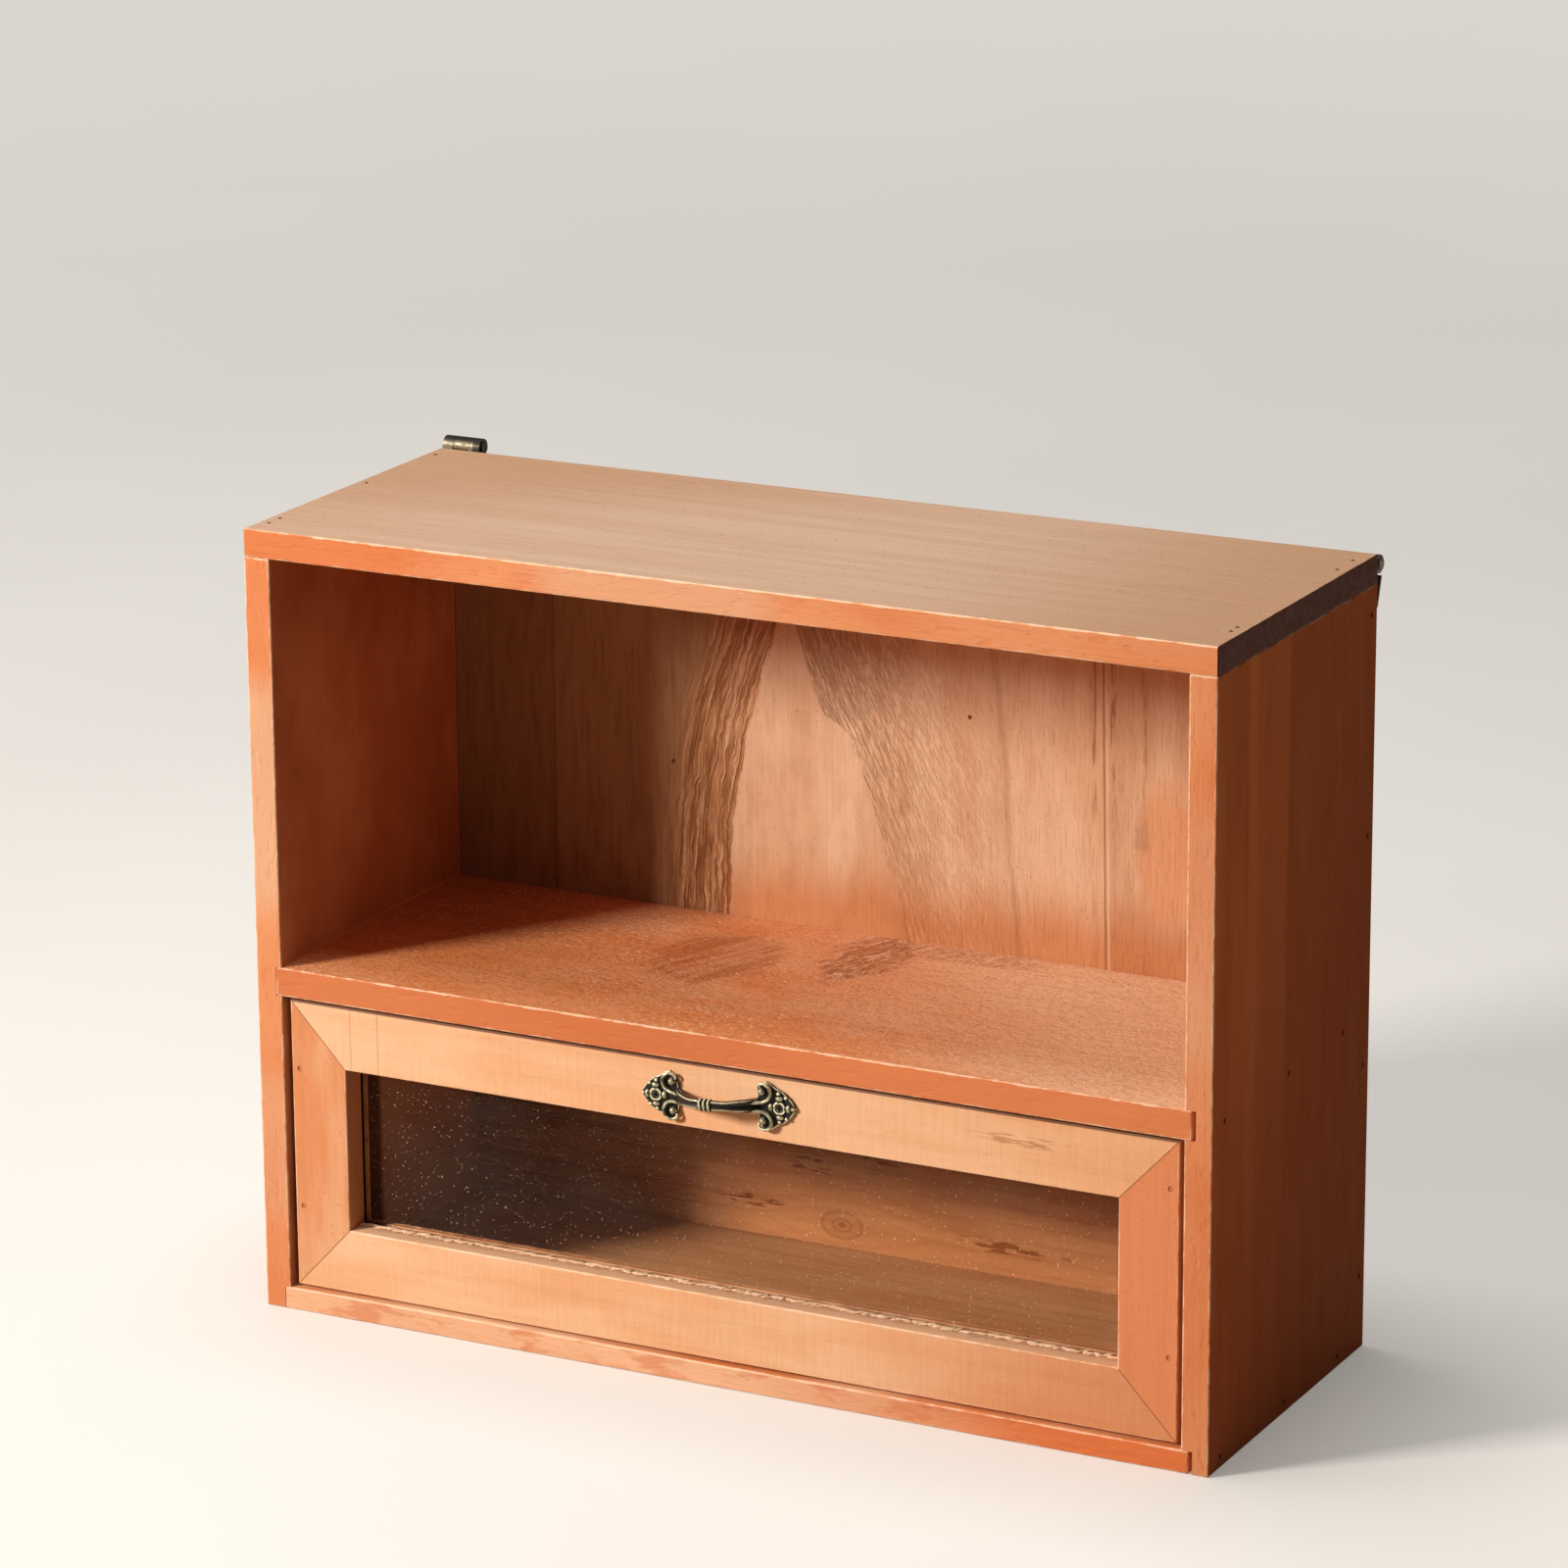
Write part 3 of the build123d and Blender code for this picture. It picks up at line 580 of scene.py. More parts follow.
def dress_side(node, seed, staves):
    """A side glued up from staves, its grain upright."""
    wood = Wood(node, "Z", seed)
    s = wood.settings
    left = node == "left_side"
    outer, inner = (wood.start[0], wood.end[0]) if left else (wood.end[0], wood.start[0])
    back_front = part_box("back_panel")[0].y / MM
    shelf_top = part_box("shelf_board")[1].z / MM
    wood.stain(s.side_pale, s.side_deep, 160.0, 30.0)
    outside = wood.on_face(wood.x, outer)
    for seam, colour, amount in staves:
        edge = wood.wander(wood.y, 1.5, 90.0, 90.0)
        beyond = wood.ramp(edge, wood.start[1] + seam - 0.8, wood.start[1] + seam + 0.8)
        wood.wash(getattr(s, colour), beyond, outside, amount)
    deeper = wood.ramp(wood.less(wood.y, wood.times(wood.z, 0.9)), -260.0, -60.0, 0.0, 0.85)
    wood.wash(s.side_dark, outside, deeper)
    if left:
        wood.wash(s.edge_pale, outside, 0.55)
    lines = wood.wander(wood.sum(wood.y, wood.times(wood.x, 0.5)), 9.0)
    wood.rings(lines, 19.0, 0.08, outside)
    inside = wood.on_face(wood.x, inner)
    wood.stain(s.inner_pale, s.inner_deep, 60.0, 40.0, inside)
    smoke = wood.ramp(wood.field(46.0, 7.0, 3.0, 0.6), 0.5, 0.75)
    wood.deepen(inside, smoke, wood.ramp(wood.y, 0.0, 70.0, 0.0, 0.4))
    # Painted shade under the top board: the left inner face darker towards its top.
    if left:
        wood.deepen(inside, wood.ramp(wood.z, 230.0, 290.0, 0.0, 0.4))
    edge = wood.front_edge()
    rubbed = ((206.0, 46.0, 0.7), (66.0, 30.0, 0.3)) if left else ((205.0, 50.0, 0.3),)
    for height, reach, amount in rubbed:
        bare = wood.spot((outer, wood.start[1], height), (ANYWHERE, ANYWHERE, reach), 0.4, 40.0)
        wood.wash(s.edge_bare, edge, bare, amount)
    wood.fibres(0.13, 60.0, 0.5)
    wood.pores(0.18, 9.0, 0.45, 0.62)
    wood.end_grain(0.3)
    corner = wood.times(inside, wood.ramp(wood.z, shelf_top - 1.0, shelf_top))
    behind = wood.ramp(wood.gap(wood.y, back_front - 0.5), 0.7, 0.3)
    below = wood.ramp(wood.gap(wood.z, shelf_top + 0.5), 0.8, 0.3)
    wood.wash(s.edge_pale, wood.most(behind, below), corner, 0.4)
    wood.worn(0.6)
    dress(node, wood.finish(0.62, 0.1, Specular_IOR_Level=0.05))


def dress_shelf():
    """Orange brown, torn round a hidden knot, dusted with bright specks."""
    wood = Wood("shelf_board", "X", 4.0)
    s = wood.settings
    wood.stain(s.shelf_pale, s.shelf_deep, 60.0, 34.0)
    wood.wash(s.shelf_even, 0.7)
    far = wood.sum(wood.x, wood.times(wood.y, 0.9))
    wood.wash(s.shelf_deep, wood.ramp(far, -40.0, -150.0, 0.0, 0.6))
    # Painted sheen: paler towards the back right.
    wood.wash(s.shelf_pale, wood.ramp(far, -40.0, 150.0, 0.0, 0.9))
    painted_sheen = wood.all_of(wood.ramp(wood.x, 20.0, 110.0), wood.ramp(wood.y, -10.0, 50.0, 0.0, 0.4))
    wood.wash(s.shelf_painted_sheen, painted_sheen)
    shaded = wood.all_of(wood.ramp(wood.x, -90.0, -150.0), wood.ramp(wood.y, -40.0, 20.0, 0.0, 0.6))
    wood.wash(s.shelf_shaded, shaded)
    edge = wood.front_edge()
    face = wood.outside_of(edge)
    upper = wood.end[2]
    wood.wash(s.edge_deep, edge, wood.ramp(wood.x, -150.0, 20.0, 0.2, 0.75))
    wood.wash(s.shelf_lip, edge, wood.ramp(wood.x, 70.0, -20.0, 0.0, 0.75))
    lines = wood.wander(wood.sum(wood.y, wood.times(wood.z, 0.4)), 9.0, 110.0, 30.0)
    wood.rings(lines, 15.0, 0.1, face)

    across = wood.less(wood.x, wood.times(wood.y, 0.25))
    along = wood.curve(wood.y, ((-74.0, 0.0), (-26.0, 4.0), (20.0, -3.0), (74.0, -16.0)))
    slanted = wood.join(wood.y, wood.sum(across, along), wood.z)
    smooth = wood.spot((-45.0, 10.0, upper), (25.0, 34.0, ANYWHERE), 0.6, 14.0)
    wood.torn(wood.times(smooth, face), 0.34, 60.0, 5.0, 0.3, slanted, 0.0)
    wood.wash(s.shelf_figure, smooth, face, 0.3)
    rough = wood.spot((8.0, 36.0, upper), (15.0, 30.0, ANYWHERE), 1.0, 12.0)
    behind = wood.spot((40.0, 54.0, upper), (34.0, 9.0, ANYWHERE), 1.0, 10.0)
    patches = wood.most(rough, wood.times(behind, 0.4))
    wood.wash(s.shelf_torn, patches, face, 0.4)
    wood.torn(wood.times(rough, face), 0.38, 8.0, 1.7, 0.35, slanted, 1.0, 2.2)
    wood.torn(wood.times(behind, face), 0.26, 5.0, 1.5, 0.15, slanted, 1.0, 3.0)
    crests = wood.ramp(wood.field(5.0, 1.5, 2.0, 0.6, 0.8, slanted), 0.55, 0.64)
    wood.wash(s.worn, crests, wood.most(rough, behind), face, 0.6)
    wood.torn(face, 0.14, 3.0, 1.8, 0.1)
    wood.fibres(0.12, 30.0, 0.5)
    dusty = wood.ramp(wood.noise(45.0, 2.2, 2.0), 0.42, 0.6, 0.25, 1.0)
    wood.specks(1.15, 0.7, s.worn, 0.75, wood.times(face, dusty))
    wood.specks(1.3, 0.75, s.pore, 0.5, face)
    wood.worn(0.6)
    dress("shelf_board", wood.finish(0.42, Specular_IOR_Level=0.1))


def dress_bottom_board():
    """Like the shelf, mostly hidden by the drawer."""
    wood = Wood("bottom_board", "X", 6.0)
    s = wood.settings
    wood.stain(s.shelf_pale, s.shelf_deep, 120.0, 20.0)
    edge = wood.front_edge()
    bare = wood.ramp(wood.wander(wood.x, 40.0, 90.0, 90.0), 130.0, 0.0, 0.0, 0.9)
    wood.wash(s.foot_pale, edge, bare)
    rubbed = wood.ramp(wood.field(26.0, 9.0, 3.0, 0.6), 0.5, 0.62)
    wood.wash(s.edge_deep, edge, rubbed, 0.55)
    deeper = wood.ramp(wood.x, 70.0, 150.0, 0.0, 0.9)
    wood.wash(s.foot_deep, edge, deeper)
    wood.rings(wood.wander(wood.y, 4.0), 8.0, 0.15)
    wood.fibres(0.12)
    wood.pores(0.12)
    wood.worn(0.5)
    dress("bottom_board", wood.finish())


def dress_back_panel():
    """Upright staves, one with a smooth pale flame between torn grain."""
    wood = Wood("back_panel", "Z", 9.0)
    s = wood.settings
    front = wood.start[1]
    left = wood.curve(wood.z, ((128.0, -66.0), (150.0, -65.6), (175.0, -64.3), (196.0, -61.2),
                               (218.0, -57.0), (238.0, -51.0), (257.0, -45.0), (301.0, -32.0)))
    right = wood.curve(wood.z, ((128.0, 13.5), (149.0, 8.6), (170.0, 2.8), (190.0, -2.9),
                                (206.0, -8.6), (219.0, -13.5), (227.0, -24.5), (244.0, -31.5),
                                (257.0, -35.3), (301.0, -47.0)))
    ragged = wood.less(wood.noise((5.0, 5.0, 9.0), 4.4, 3.0, 0.6), 0.5)
    past_left = wood.less(left, wood.x)
    past_right = wood.less(wood.x, right)
    beyond = wood.sum(wood.most(past_left, past_right), wood.times(ragged, 4.0))
    surround = wood.ramp(beyond, -0.5, 0.9)
    on_left = wood.ramp(wood.less(past_left, past_right), -1.0, 1.0)
    on_right = wood.outside_of(on_left)
    run = wood.curve(wood.z, ((128.0, 14.0), (170.0, 3.0), (206.0, -13.0), (257.0, -37.0),
                              (301.0, -50.0)))
    shaped = wood.join(beyond, wood.y, wood.z)
    swept = wood.join(wood.less(wood.x, run), wood.y, wood.z)

    wood.stain(s.back_pale, s.back_deep, 90.0, 20.0)
    # Darker brown left of the torn band: painted shade where the left side's shadow falls, on top of the
    # staves' own brown.
    brown = wood.ramp(wood.wander(wood.x, 5.0, 120.0, 20.0), -60.0, -77.0, 0.0, 0.9)
    wood.wash(s.back_brown_and_shade, brown)
    foot = wood.ramp(wood.wander(wood.z, 8.0, 60.0, 20.0), 176.0, 146.0)
    rear = wood.on_face(wood.y, wood.end[1])
    wood.wash(s.back_foot, foot, wood.outside_of(brown), wood.outside_of(rear), 0.85)

    band = wood.all_of(surround, on_left, wood.ramp(beyond, 36.0, 18.0))
    wood.wash(s.back_band, band, 0.5)
    wood.torn(band, 0.5, 34.0, 1.2, 0.3, shaped, 0.14)
    wood.torn(band, 0.3, 14.0, 0.8, 0.14, shaped, 0.14)
    wood.deepen(band, wood.ramp(beyond, 9.0, 1.0), 0.2)
    mottled = wood.ramp(wood.field(26.0, 3.0, 4.0, 0.65), 0.44, 0.66)
    wood.deepen(wood.ramp(wood.x, -70.0, -90.0), mottled, 0.3)
    upper = wood.ramp(wood.z, 150.0, 235.0, 0.45, 1.0)
    swarm = wood.all_of(surround, on_right, wood.ramp(beyond, 78.0, 14.0, 0.2, 1.0), upper)
    wood.torn(swarm, 0.28, 5.5, 1.1, 0.16, swept, 1.2)
    wood.torn(wood.all_of(swarm, wood.ramp(beyond, 34.0, 6.0)), 0.26, 14.0, 1.6, 0.2, swept, 0.8)
    # Painted shade under the top board, on top of the wood's own mottling: darker high to the right of the
    # flame.
    crown = wood.spot((-10.0, front, 254.0), (30.0, ANYWHERE, 22.0), 0.9, 16.0)
    wood.deepen(surround, on_right, crown, 0.22)

    vein = wood.curve(wood.z, ((128.0, 62.0), (148.0, 59.2), (184.0, 55.3), (219.0, 53.3),
                               (257.0, 48.5), (301.0, 45.0)))
    past_vein = wood.wander(wood.less(wood.x, vein), 1.6, 30.0, 8.0)
    wood.line(past_vein, 0.0, 2.0, 0.16)
    wood.deepen(wood.ramp(past_vein, -16.0, 0.0), wood.ramp(past_vein, 0.6, 0.0), 0.1)
    high = wood.ramp(wood.z, 186.0, 226.0)
    leaning = wood.sum(wood.x, wood.times(wood.less(wood.z, 200.0), 0.0161))
    seam = 94.95
    broken = wood.ramp(wood.field(14.0, 2.0, 3.0, 0.6), 0.42, 0.6)
    for offset, width, amount in ((-4.4, 1.7, 0.5), (4.2, 1.3, 0.55), (17.0, 1.6, 0.3)):
        rough = wood.wander(leaning, 1.3, 22.0, 6.0)
        mask = wood.ramp(wood.gap(rough, seam + offset), width, width * 0.4)
        wood.deepen(mask, broken, wood.ramp(high, 0.0, 1.0, 0.2, amount * 1.4))
    left_seam = -144.0
    left_stave = wood.ramp(wood.x, left_seam + 0.2, left_seam - 0.2)
    wood.wash(s.back_stave, left_stave, 0.3)
    wood.line(wood.x, left_seam, 0.8, 0.35)
    right_stave = wood.ramp(leaning, seam - 0.2, seam + 0.2)
    wood.deepen(right_stave, 0.16)
    smudge = wood.spot((121.0, front, 188.0), (13.0, ANYWHERE, 27.0), 1.0, 16.0)
    wood.wash(s.back_smudge, right_stave, smudge, 0.5)
    grey = wood.spot((110.5, front, 194.0), (3.2, ANYWHERE, 6.5), 1.6, 5.0)
    wood.wash(s.back_grey, grey, 0.4)
    wood.line(leaning, seam, 0.5, 0.6)
    wood.line(leaning, seam + 1.4, 0.6, 0.25, s.worn)
    for x, z in ((38.2, 232.6), (-90.8, 199.2)):
        wood.wash(s.pore, wood.spot((x, front, z), (0.9, ANYWHERE, 0.9)))
    wood.pores(0.15, 12.0, 0.8, 0.56, surround)
    wood.fibres(0.13, 40.0, 0.5)
    wood.specks(1.1, 0.76, s.pore, 0.4)
    wood.end_grain(0.3)
    blotches = wood.ramp(wood.field(17.0, 6.0, 4.0, 0.65), 0.44, 0.62)
    wood.deepen(wood.outside_of(surround), blotches, 0.14)
    wood.wash(s.back_brown_and_shade, rear, 0.35)
    dress("back_panel", wood.finish(dull=rear, Specular_IOR_Level=0.1))


def dress_frame_member(node, grain, seed):
    """A member of the drawer's frame: rails show saw marks, stiles fine specks."""
    wood = Wood(node, grain, seed)
    s = wood.settings
    if grain == "X":
        wood.stain(s.rail_pale, s.rail_deep, 130.0, 26.0)
    else:
        wood.stain(s.stile_pale, s.stile_deep, 90.0, 16.0)
    tilted = wood.sum(wood.x, wood.times(wood.z, -0.4))
    if node == "drawer_bottom_rail":
        wood.wash(s.stile_deep, wood.ramp(tilted, 20.0, 150.0, 0.0, 0.85))
    else:
        wood.wash(s.rail_deep, wood.ramp(tilted, -60.0, 190.0, 0.0, 0.6))
    if node == "drawer_right_stile":
        wood.wash(s.stile_right, 0.85)
    reveal = wood.ramp(wood.less(wood.y, wood.start[1]), 0.8, 1.6)
    wood.wash(s.inner_pale, reveal, 0.5)
    across = wood.z if grain == "X" else wood.x
    wood.rings(wood.wander(across, 5.0, 180.0, 20.0), 14.0, 0.05)
    wood.fibres(0.08, 34.0, 0.5)
    wood.pores(0.12, 6.0, 0.5, 0.64)
    if grain == "X":
        wood.saw_marks(2.2, 0.055)
        wood.saw_marks(0.7, 0.045)
    else:
        wood.specks(1.6, 0.7, s.edge_deep, 0.4)
    if node == "drawer_top_rail":
        streak = wood.spot((126.0, wood.start[1], 117.0), (22.0, ANYWHERE, 2.2), 1.1, 9.0)
        wood.pores(0.55, 12.0, 1.1, 0.46, streak)
        for x in (-160.0, -148.0):
            wood.line(wood.wander(wood.x, 0.4, 12.0, 12.0), x, 0.35, 0.3)
    mitre_lines(wood)
    wood.worn(0.5)
    if node == "drawer_top_rail":
        # Painted shadow in the gap under the shelf, along the front of the top rail's upper face.
        under_top = wood.less(wood.end[2], wood.z)
        by_front = wood.ramp(wood.less(wood.y, wood.start[1]), 3.6, 2.6)
        gap_shadow_line = wood.times(wood.ramp(under_top, 1.15, 0.55), by_front)
        wood.wash(s.gap, gap_shadow_line, 0.85)
    if node == "drawer_bottom_rail":
        past_front = wood.ramp(wood.less(wood.y, wood.start[1]), 0.4, 0.8)
        sill = wood.times(wood.on_face(wood.z, wood.end[2]), past_front)
        wood.wash(s.rail_pale, sill, 0.6)
        hatched = wood.join(wood.y, wood.less(wood.x, wood.times(wood.y, 1.2)), wood.z)
        by_pane = wood.ramp(wood.y, -68.0, -64.0)
        wood.torn(wood.times(sill, by_pane), 0.4, 6.0, 0.9, 0.25, hatched, 0.3)
    dress(node, wood.finish(0.5, 0.1, Specular_IOR_Level=0.1))


def mitre_lines(wood):
    """The dark joint where a rail meets a stile."""
    left_low, left_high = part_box("drawer_left_stile")
    right_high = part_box("drawer_right_stile")[1]
    bottom_low, bottom_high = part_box("drawer_bottom_rail")
    top_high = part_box("drawer_top_rail")[1]
    stile = (left_high.x - left_low.x) / MM
    rail = (bottom_high.z - bottom_low.z) / MM
    for corner, side in ((left_low.x / MM, 1), (right_high.x / MM, -1)):
        for edge, rise in ((bottom_low.z / MM, 1), (top_high.z / MM, -1)):
            along = wood.times(wood.less(wood.x, corner), side / stile)
            up = wood.times(wood.less(wood.z, edge), rise / rail)
            near = wood.all_of(wood.ramp(along, 1.05, 0.98), wood.ramp(up, 1.05, 0.98))
            joint = wood.times(wood.ramp(wood.gap(along, up), 0.02, 0.008), near)
            wood.wash(wood.settings.pore, joint, 0.6)


def dress_drawer_box():
    """Sides, back and floor of the drawer, plain wood under a thinner stain."""
    for node, grain, seed in (("drawer_left_side", "Y", 21.0), ("drawer_right_side", "Y", 23.0)):
        wood = Wood(node, grain, seed)
        wood.stain(wood.settings.box_pale, wood.settings.box_deep, 120.0, 50.0)
        wood.rings(wood.wander(wood.z, 3.0), 7.0, 0.06)
        wood.fibres(0.06)
        wood.pores(0.08)
        wood.worn(0.3)
        if node == "drawer_left_side":
            # Painted light: the left side paler and warmer, standing in for light thrown into its shade.
            wood.wash(wood.settings.box_left, 0.6)
            # Painted shade on the inner face, just behind the frame's left end.
            inside = wood.on_face(wood.x, wood.end[0])
            shade_by_frame = wood.ramp(wood.y, -20.0, -24.0, 0.0, 0.85)
            wood.wash(wood.settings.box_corner_shade, inside, shade_by_frame)
        dress(node, wood.finish(Specular_IOR_Level=0.05))
    dress_drawer_back()
    wood = Wood("drawer_bottom", "X", 27.0)
    s = wood.settings
    wood.stain(s.box_floor, s.box_deep, 110.0, 16.0)
    wood.wash(s.box_floor, 0.5)
    wood.rings(wood.wander(wood.y, 5.0), 9.0, 0.2)
    wood.fibres(0.2)
    wood.pores(0.25)
    wood.specks(1.2, 0.74, s.worn, 0.3)
    dress("drawer_bottom", wood.finish(Specular_IOR_Level=0.1))


def dress_drawer_back():
    """Lengthwise grain that parts round a knot, with dark dashes beside it."""
    wood = Wood("drawer_back", "X", 25.0)
    s = wood.settings
    wood.stain(s.box_pale, s.box_deep, 90.0, 14.0)
    front = wood.start[1]
    knot = (-11.9, front, 21.8)
    distance = wood.far(knot, (11.0, ANYWHERE, 7.0))
    push = wood.times(wood.ramp(distance, 4.0, 0.3), 9.0)
    rise = wood.less(wood.z, knot[2])
    side = wood.math("SIGN", rise)
    field = wood.wander(wood.less(rise, wood.times(side, push)), 4.0, 60.0, 18.0)
    pale_band = wood.ramp(wood.wander(wood.z, 5.0, 60.0, 60.0), 46.0, 34.0, 0.0, 0.45)
    wood.wash(s.box_band, pale_band)
    wood.rings(field, 6.5, 0.14, 1.0, 0.5)
    wood.rings(wood.times(distance, 6.0), 2.6, 0.4, wood.ramp(distance, 1.1, 0.8), 0.5)
    wood.deepen(wood.ramp(distance, 0.95, 0.6), 0.12)
    wood.wash(s.pore, wood.ramp(distance, 0.22, 0.12), 0.5)
    for x, z, long, wide in ((-52.0, 26.0, 16.0, 3.0), (62.0, 24.0, 30.0, 3.0),
                             (-26.0, 44.0, 9.0, 5.0), (6.0, 52.0, 10.0, 5.0)):
        patch = wood.spot((x, front, z), (long, ANYWHERE, wide), 0.9, 10.0)
        wood.pores(0.9, 11.0, 1.8, 0.5, patch)
    wood.pores(0.14, 16.0, 1.0, 0.58)
    wood.fibres(0.1)
    dress("drawer_back", wood.finish(Specular_IOR_Level=0.05))


def dress_glazing_strips():
    """Narrow planed strips round the pane."""
    sides = (("top", "X"), ("bottom", "X"), ("left", "Z"), ("right", "Z"))
    for index, (side, grain) in enumerate(sides):
        node = f"glazing_strip_{side}"
        wood = Wood(node, grain, 31.0 + index)
        wood.stain(wood.settings.box_pale, wood.settings.box_deep)
        wood.fibres(0.16)
        wood.pores(0.2)
        wood.worn(0.4)
        dress(node, wood.finish(Specular_IOR_Level=0.1))


def brad_finish(name, colour):
    """Sunk steel heads, dulled by filler and stain."""
    tree = Tree(name)
    dull = tree.ramp(tree.noise(0.8, 2.0, 3.0), 0.35, 0.65)
    shade = tree.mix(dull, rgba(colour), rgba(tuple(value * 1.5 for value in colour)))
    rough = tree.ramp(dull, 0.0, 1.0, 0.45, 0.65)
    relief = tree.bump(tree.times(dull, 0.03))
    return tree.output(tree.principled(shade, rough, relief, Metallic=0.3, Specular_IOR_Level=0.2))


def brass_finish(node):
    """Brass, dull in faint patches and dark along its top and towards its inner end."""
    tree = Tree(f"{node}_finish")
    hardware = bpy.context.scene.storage_box.hardware
    low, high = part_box(node)
    patches = tree.ramp(tree.noise(3.0, 6.0, 4.0, 0.6), 0.35, 0.75, 0.0, 0.5)
    colour = tree.mix(patches, rgba(hardware.brass), rgba(hardware.tarnish))
    above = tree.ramp(tree.z, high.z / MM - 1.6, high.z / MM - 0.7)
    side = -1 if high.x < 0 else 1
    inner = (high.x if side < 0 else low.x) / MM
    inward = tree.times(tree.less(tree.x, inner), side)
    dark = tree.most(above, tree.ramp(inward, 3.4, 2.6))
    colour = tree.mix(tree.times(dark, 0.85), colour, rgba(hardware.shade))
    scratches = tree.noise((6.0, 0.3, 0.3), 8.0, 3.0, 0.6)
    rough = tree.sum(tree.ramp(patches, 0.0, 1.0, 0.4, 0.6), tree.times(scratches, 0.1))
    relief = tree.bump(tree.times(scratches, 0.02))
    return tree.output(tree.principled(colour, rough, relief, Metallic=0.7))


def dress_hardware():
    """Brads, pins, ears and screws."""
    hardware = bpy.context.scene.storage_box.hardware
    brad = brad_finish("brad_finish", hardware.steel)
    for node in ("top_nails", "shelf_nails", "bottom_nails", "back_nails", "glazing_pins",
                 "drawer_back_nails", "drawer_floor_nails"):
        dress(node, brad)
    dress("drawer_front_nails", brad_finish("filled_brad_finish", hardware.filled))
    for side in ("left", "right"):
        for part in ("fixed_leaf", "free_leaf", "pin"):
            node = f"{side}_ear_{part}"
            dress(node, brass_finish(node))
    dress("ear_screws", brass_finish("ear_screws"))


def dress_glass():
    """Clear thin glass with dust and small specks."""
    tree = Tree("pane_finish")
    glass = bpy.context.scene.storage_box.glass
    cloud = tree.ramp(tree.noise((70.0, 70.0, 40.0), 3.0, 4.0, 0.6), 0.3, 0.75, 0.4, 1.8)
    film = tree.times(cloud, glass.cover)
    specks = tree.ramp(tree.noise(0.9, 11.0, 0.0), 0.77, 0.81, 0.0, 0.5)
    wisps = tree.noise((9.0, 9.0, 3.0), 15.0, 3.0, 0.7, 1.5)
    smears = tree.ramp(wisps, 0.66, 0.76, 0.0, 0.04)
    dust = tree.least(tree.sum(film, tree.sum(specks, smears)), 0.8)
    clear = tree.outside_of(dust)
    colour = tree.mix(tree.ramp(dust, 0.0, 0.2), rgba(glass.tint), rgba(glass.haze))
    rough = tree.ramp(dust, 0.0, 0.5, 0.03, 0.3)
    pane = tree.node("ShaderNodeBsdfPrincipled")
    for name, value in (("Base Color", colour), ("Roughness", rough), ("Transmission Weight", clear),
                        ("IOR", 1.06), ("Specular IOR Level", 0.08)):
        tree.put(pane.inputs[name], value)
    open_way = tree.node("ShaderNodeBsdfTransparent")
    lamps = tree.node("ShaderNodeLightPath").outputs["Is Shadow Ray"]
    mixed = tree.node("ShaderNodeMixShader", lamps, pane.outputs[0], open_way.outputs[0])
    dress("glass_pane", tree.output(mixed.outputs[0]))


def end_piece(bm, name, material):
    """Turns a bmesh into a piece in the scene."""
    mesh = bpy.data.meshes.new(name)
    bm.to_mesh(mesh)
    bm.free()
    piece = bpy.data.objects.new(name, mesh)
    bpy.context.scene.collection.objects.link(piece)
    if material:
        mesh.materials.append(material)
    return piece


def add_ball(bm, centre, reach):
    """A ball drawn out to a reach along each axis."""
    place = Matrix.Translation(centre) @ Matrix.Diagonal((*reach, 1.0))
    bmesh.ops.create_uvsphere(bm, u_segments=24, v_segments=14, radius=1.0, matrix=place)


def add_disc(bm, centre, radius, height):
    """A round disc standing on the handle's back plane."""
    place = Matrix.Translation((*centre, height / 2))
    bmesh.ops.create_cone(
        bm, cap_ends=True, segments=40, radius1=radius, radius2=radius, depth=height, matrix=place
    )


def add_rib(bm, points):
    """A round rib along a smooth line of places, each with a radius."""
    curve = bpy.data.curves.new("rib", "CURVE")
    curve.dimensions = "3D"
    curve.bevel_depth = 1.0
    curve.bevel_resolution = 4
    curve.resolution_u = 8
    curve.use_fill_caps = True
    spline = curve.splines.new("NURBS")
    spline.points.add(len(points) - 1)
    for spot, (u, v, w, radius) in zip(spline.points, points):
        spot.co = (u, v, w, 1.0)
        spot.radius = radius
    spline.order_u = 3
    spline.use_endpoint_u = True
    holder = bpy.data.objects.new("rib", curve)
    mesh = bpy.data.meshes.new_from_object(holder)
    bm.from_mesh(mesh)
    bpy.data.objects.remove(holder)
    bpy.data.curves.remove(curve)
    bpy.data.meshes.remove(mesh)


def add_plate(bm, outline, height):
    """A flat plate with an outline, standing on the handle's back plane."""
    face = bm.faces.new([bm.verts.new((u, v, 0.0)) for u, v in outline])
    raised = bmesh.ops.extrude_face_region(bm, geom=[face])["geom"]
    corners = [item for item in raised if isinstance(item, bmesh.types.BMVert)]
    bmesh.ops.translate(bm, verts=corners, vec=(0.0, 0.0, height))


def add_sweep(bm, stations, shape, segments=56):
    """A closed bar through rounds of edges, each shaped by its angle."""
    rounds = []
    for station in stations:
        made = bmesh.ops.create_circle(bm, cap_ends=False, segments=segments, radius=1.0)
        for vert in made["verts"]:
            turn = math.atan2(vert.co.y, vert.co.x)
            vert.co = station["place"] @ Vector(shape(turn, station))
        rounds.append(made["verts"])
    loops = []
    for verts in rounds:
        held = set(verts)
        edges = dict.fromkeys(edge for vert in verts for edge in vert.link_edges)
        loops.append([edge for edge in edges if held.issuperset(edge.verts)])
    for first, second in zip(loops, loops[1:]):
        bmesh.ops.bridge_loops(bm, edges=first + second)
    for loop in (loops[0], loops[-1]):
        bmesh.ops.edgeloop_fill(bm, edges=loop)


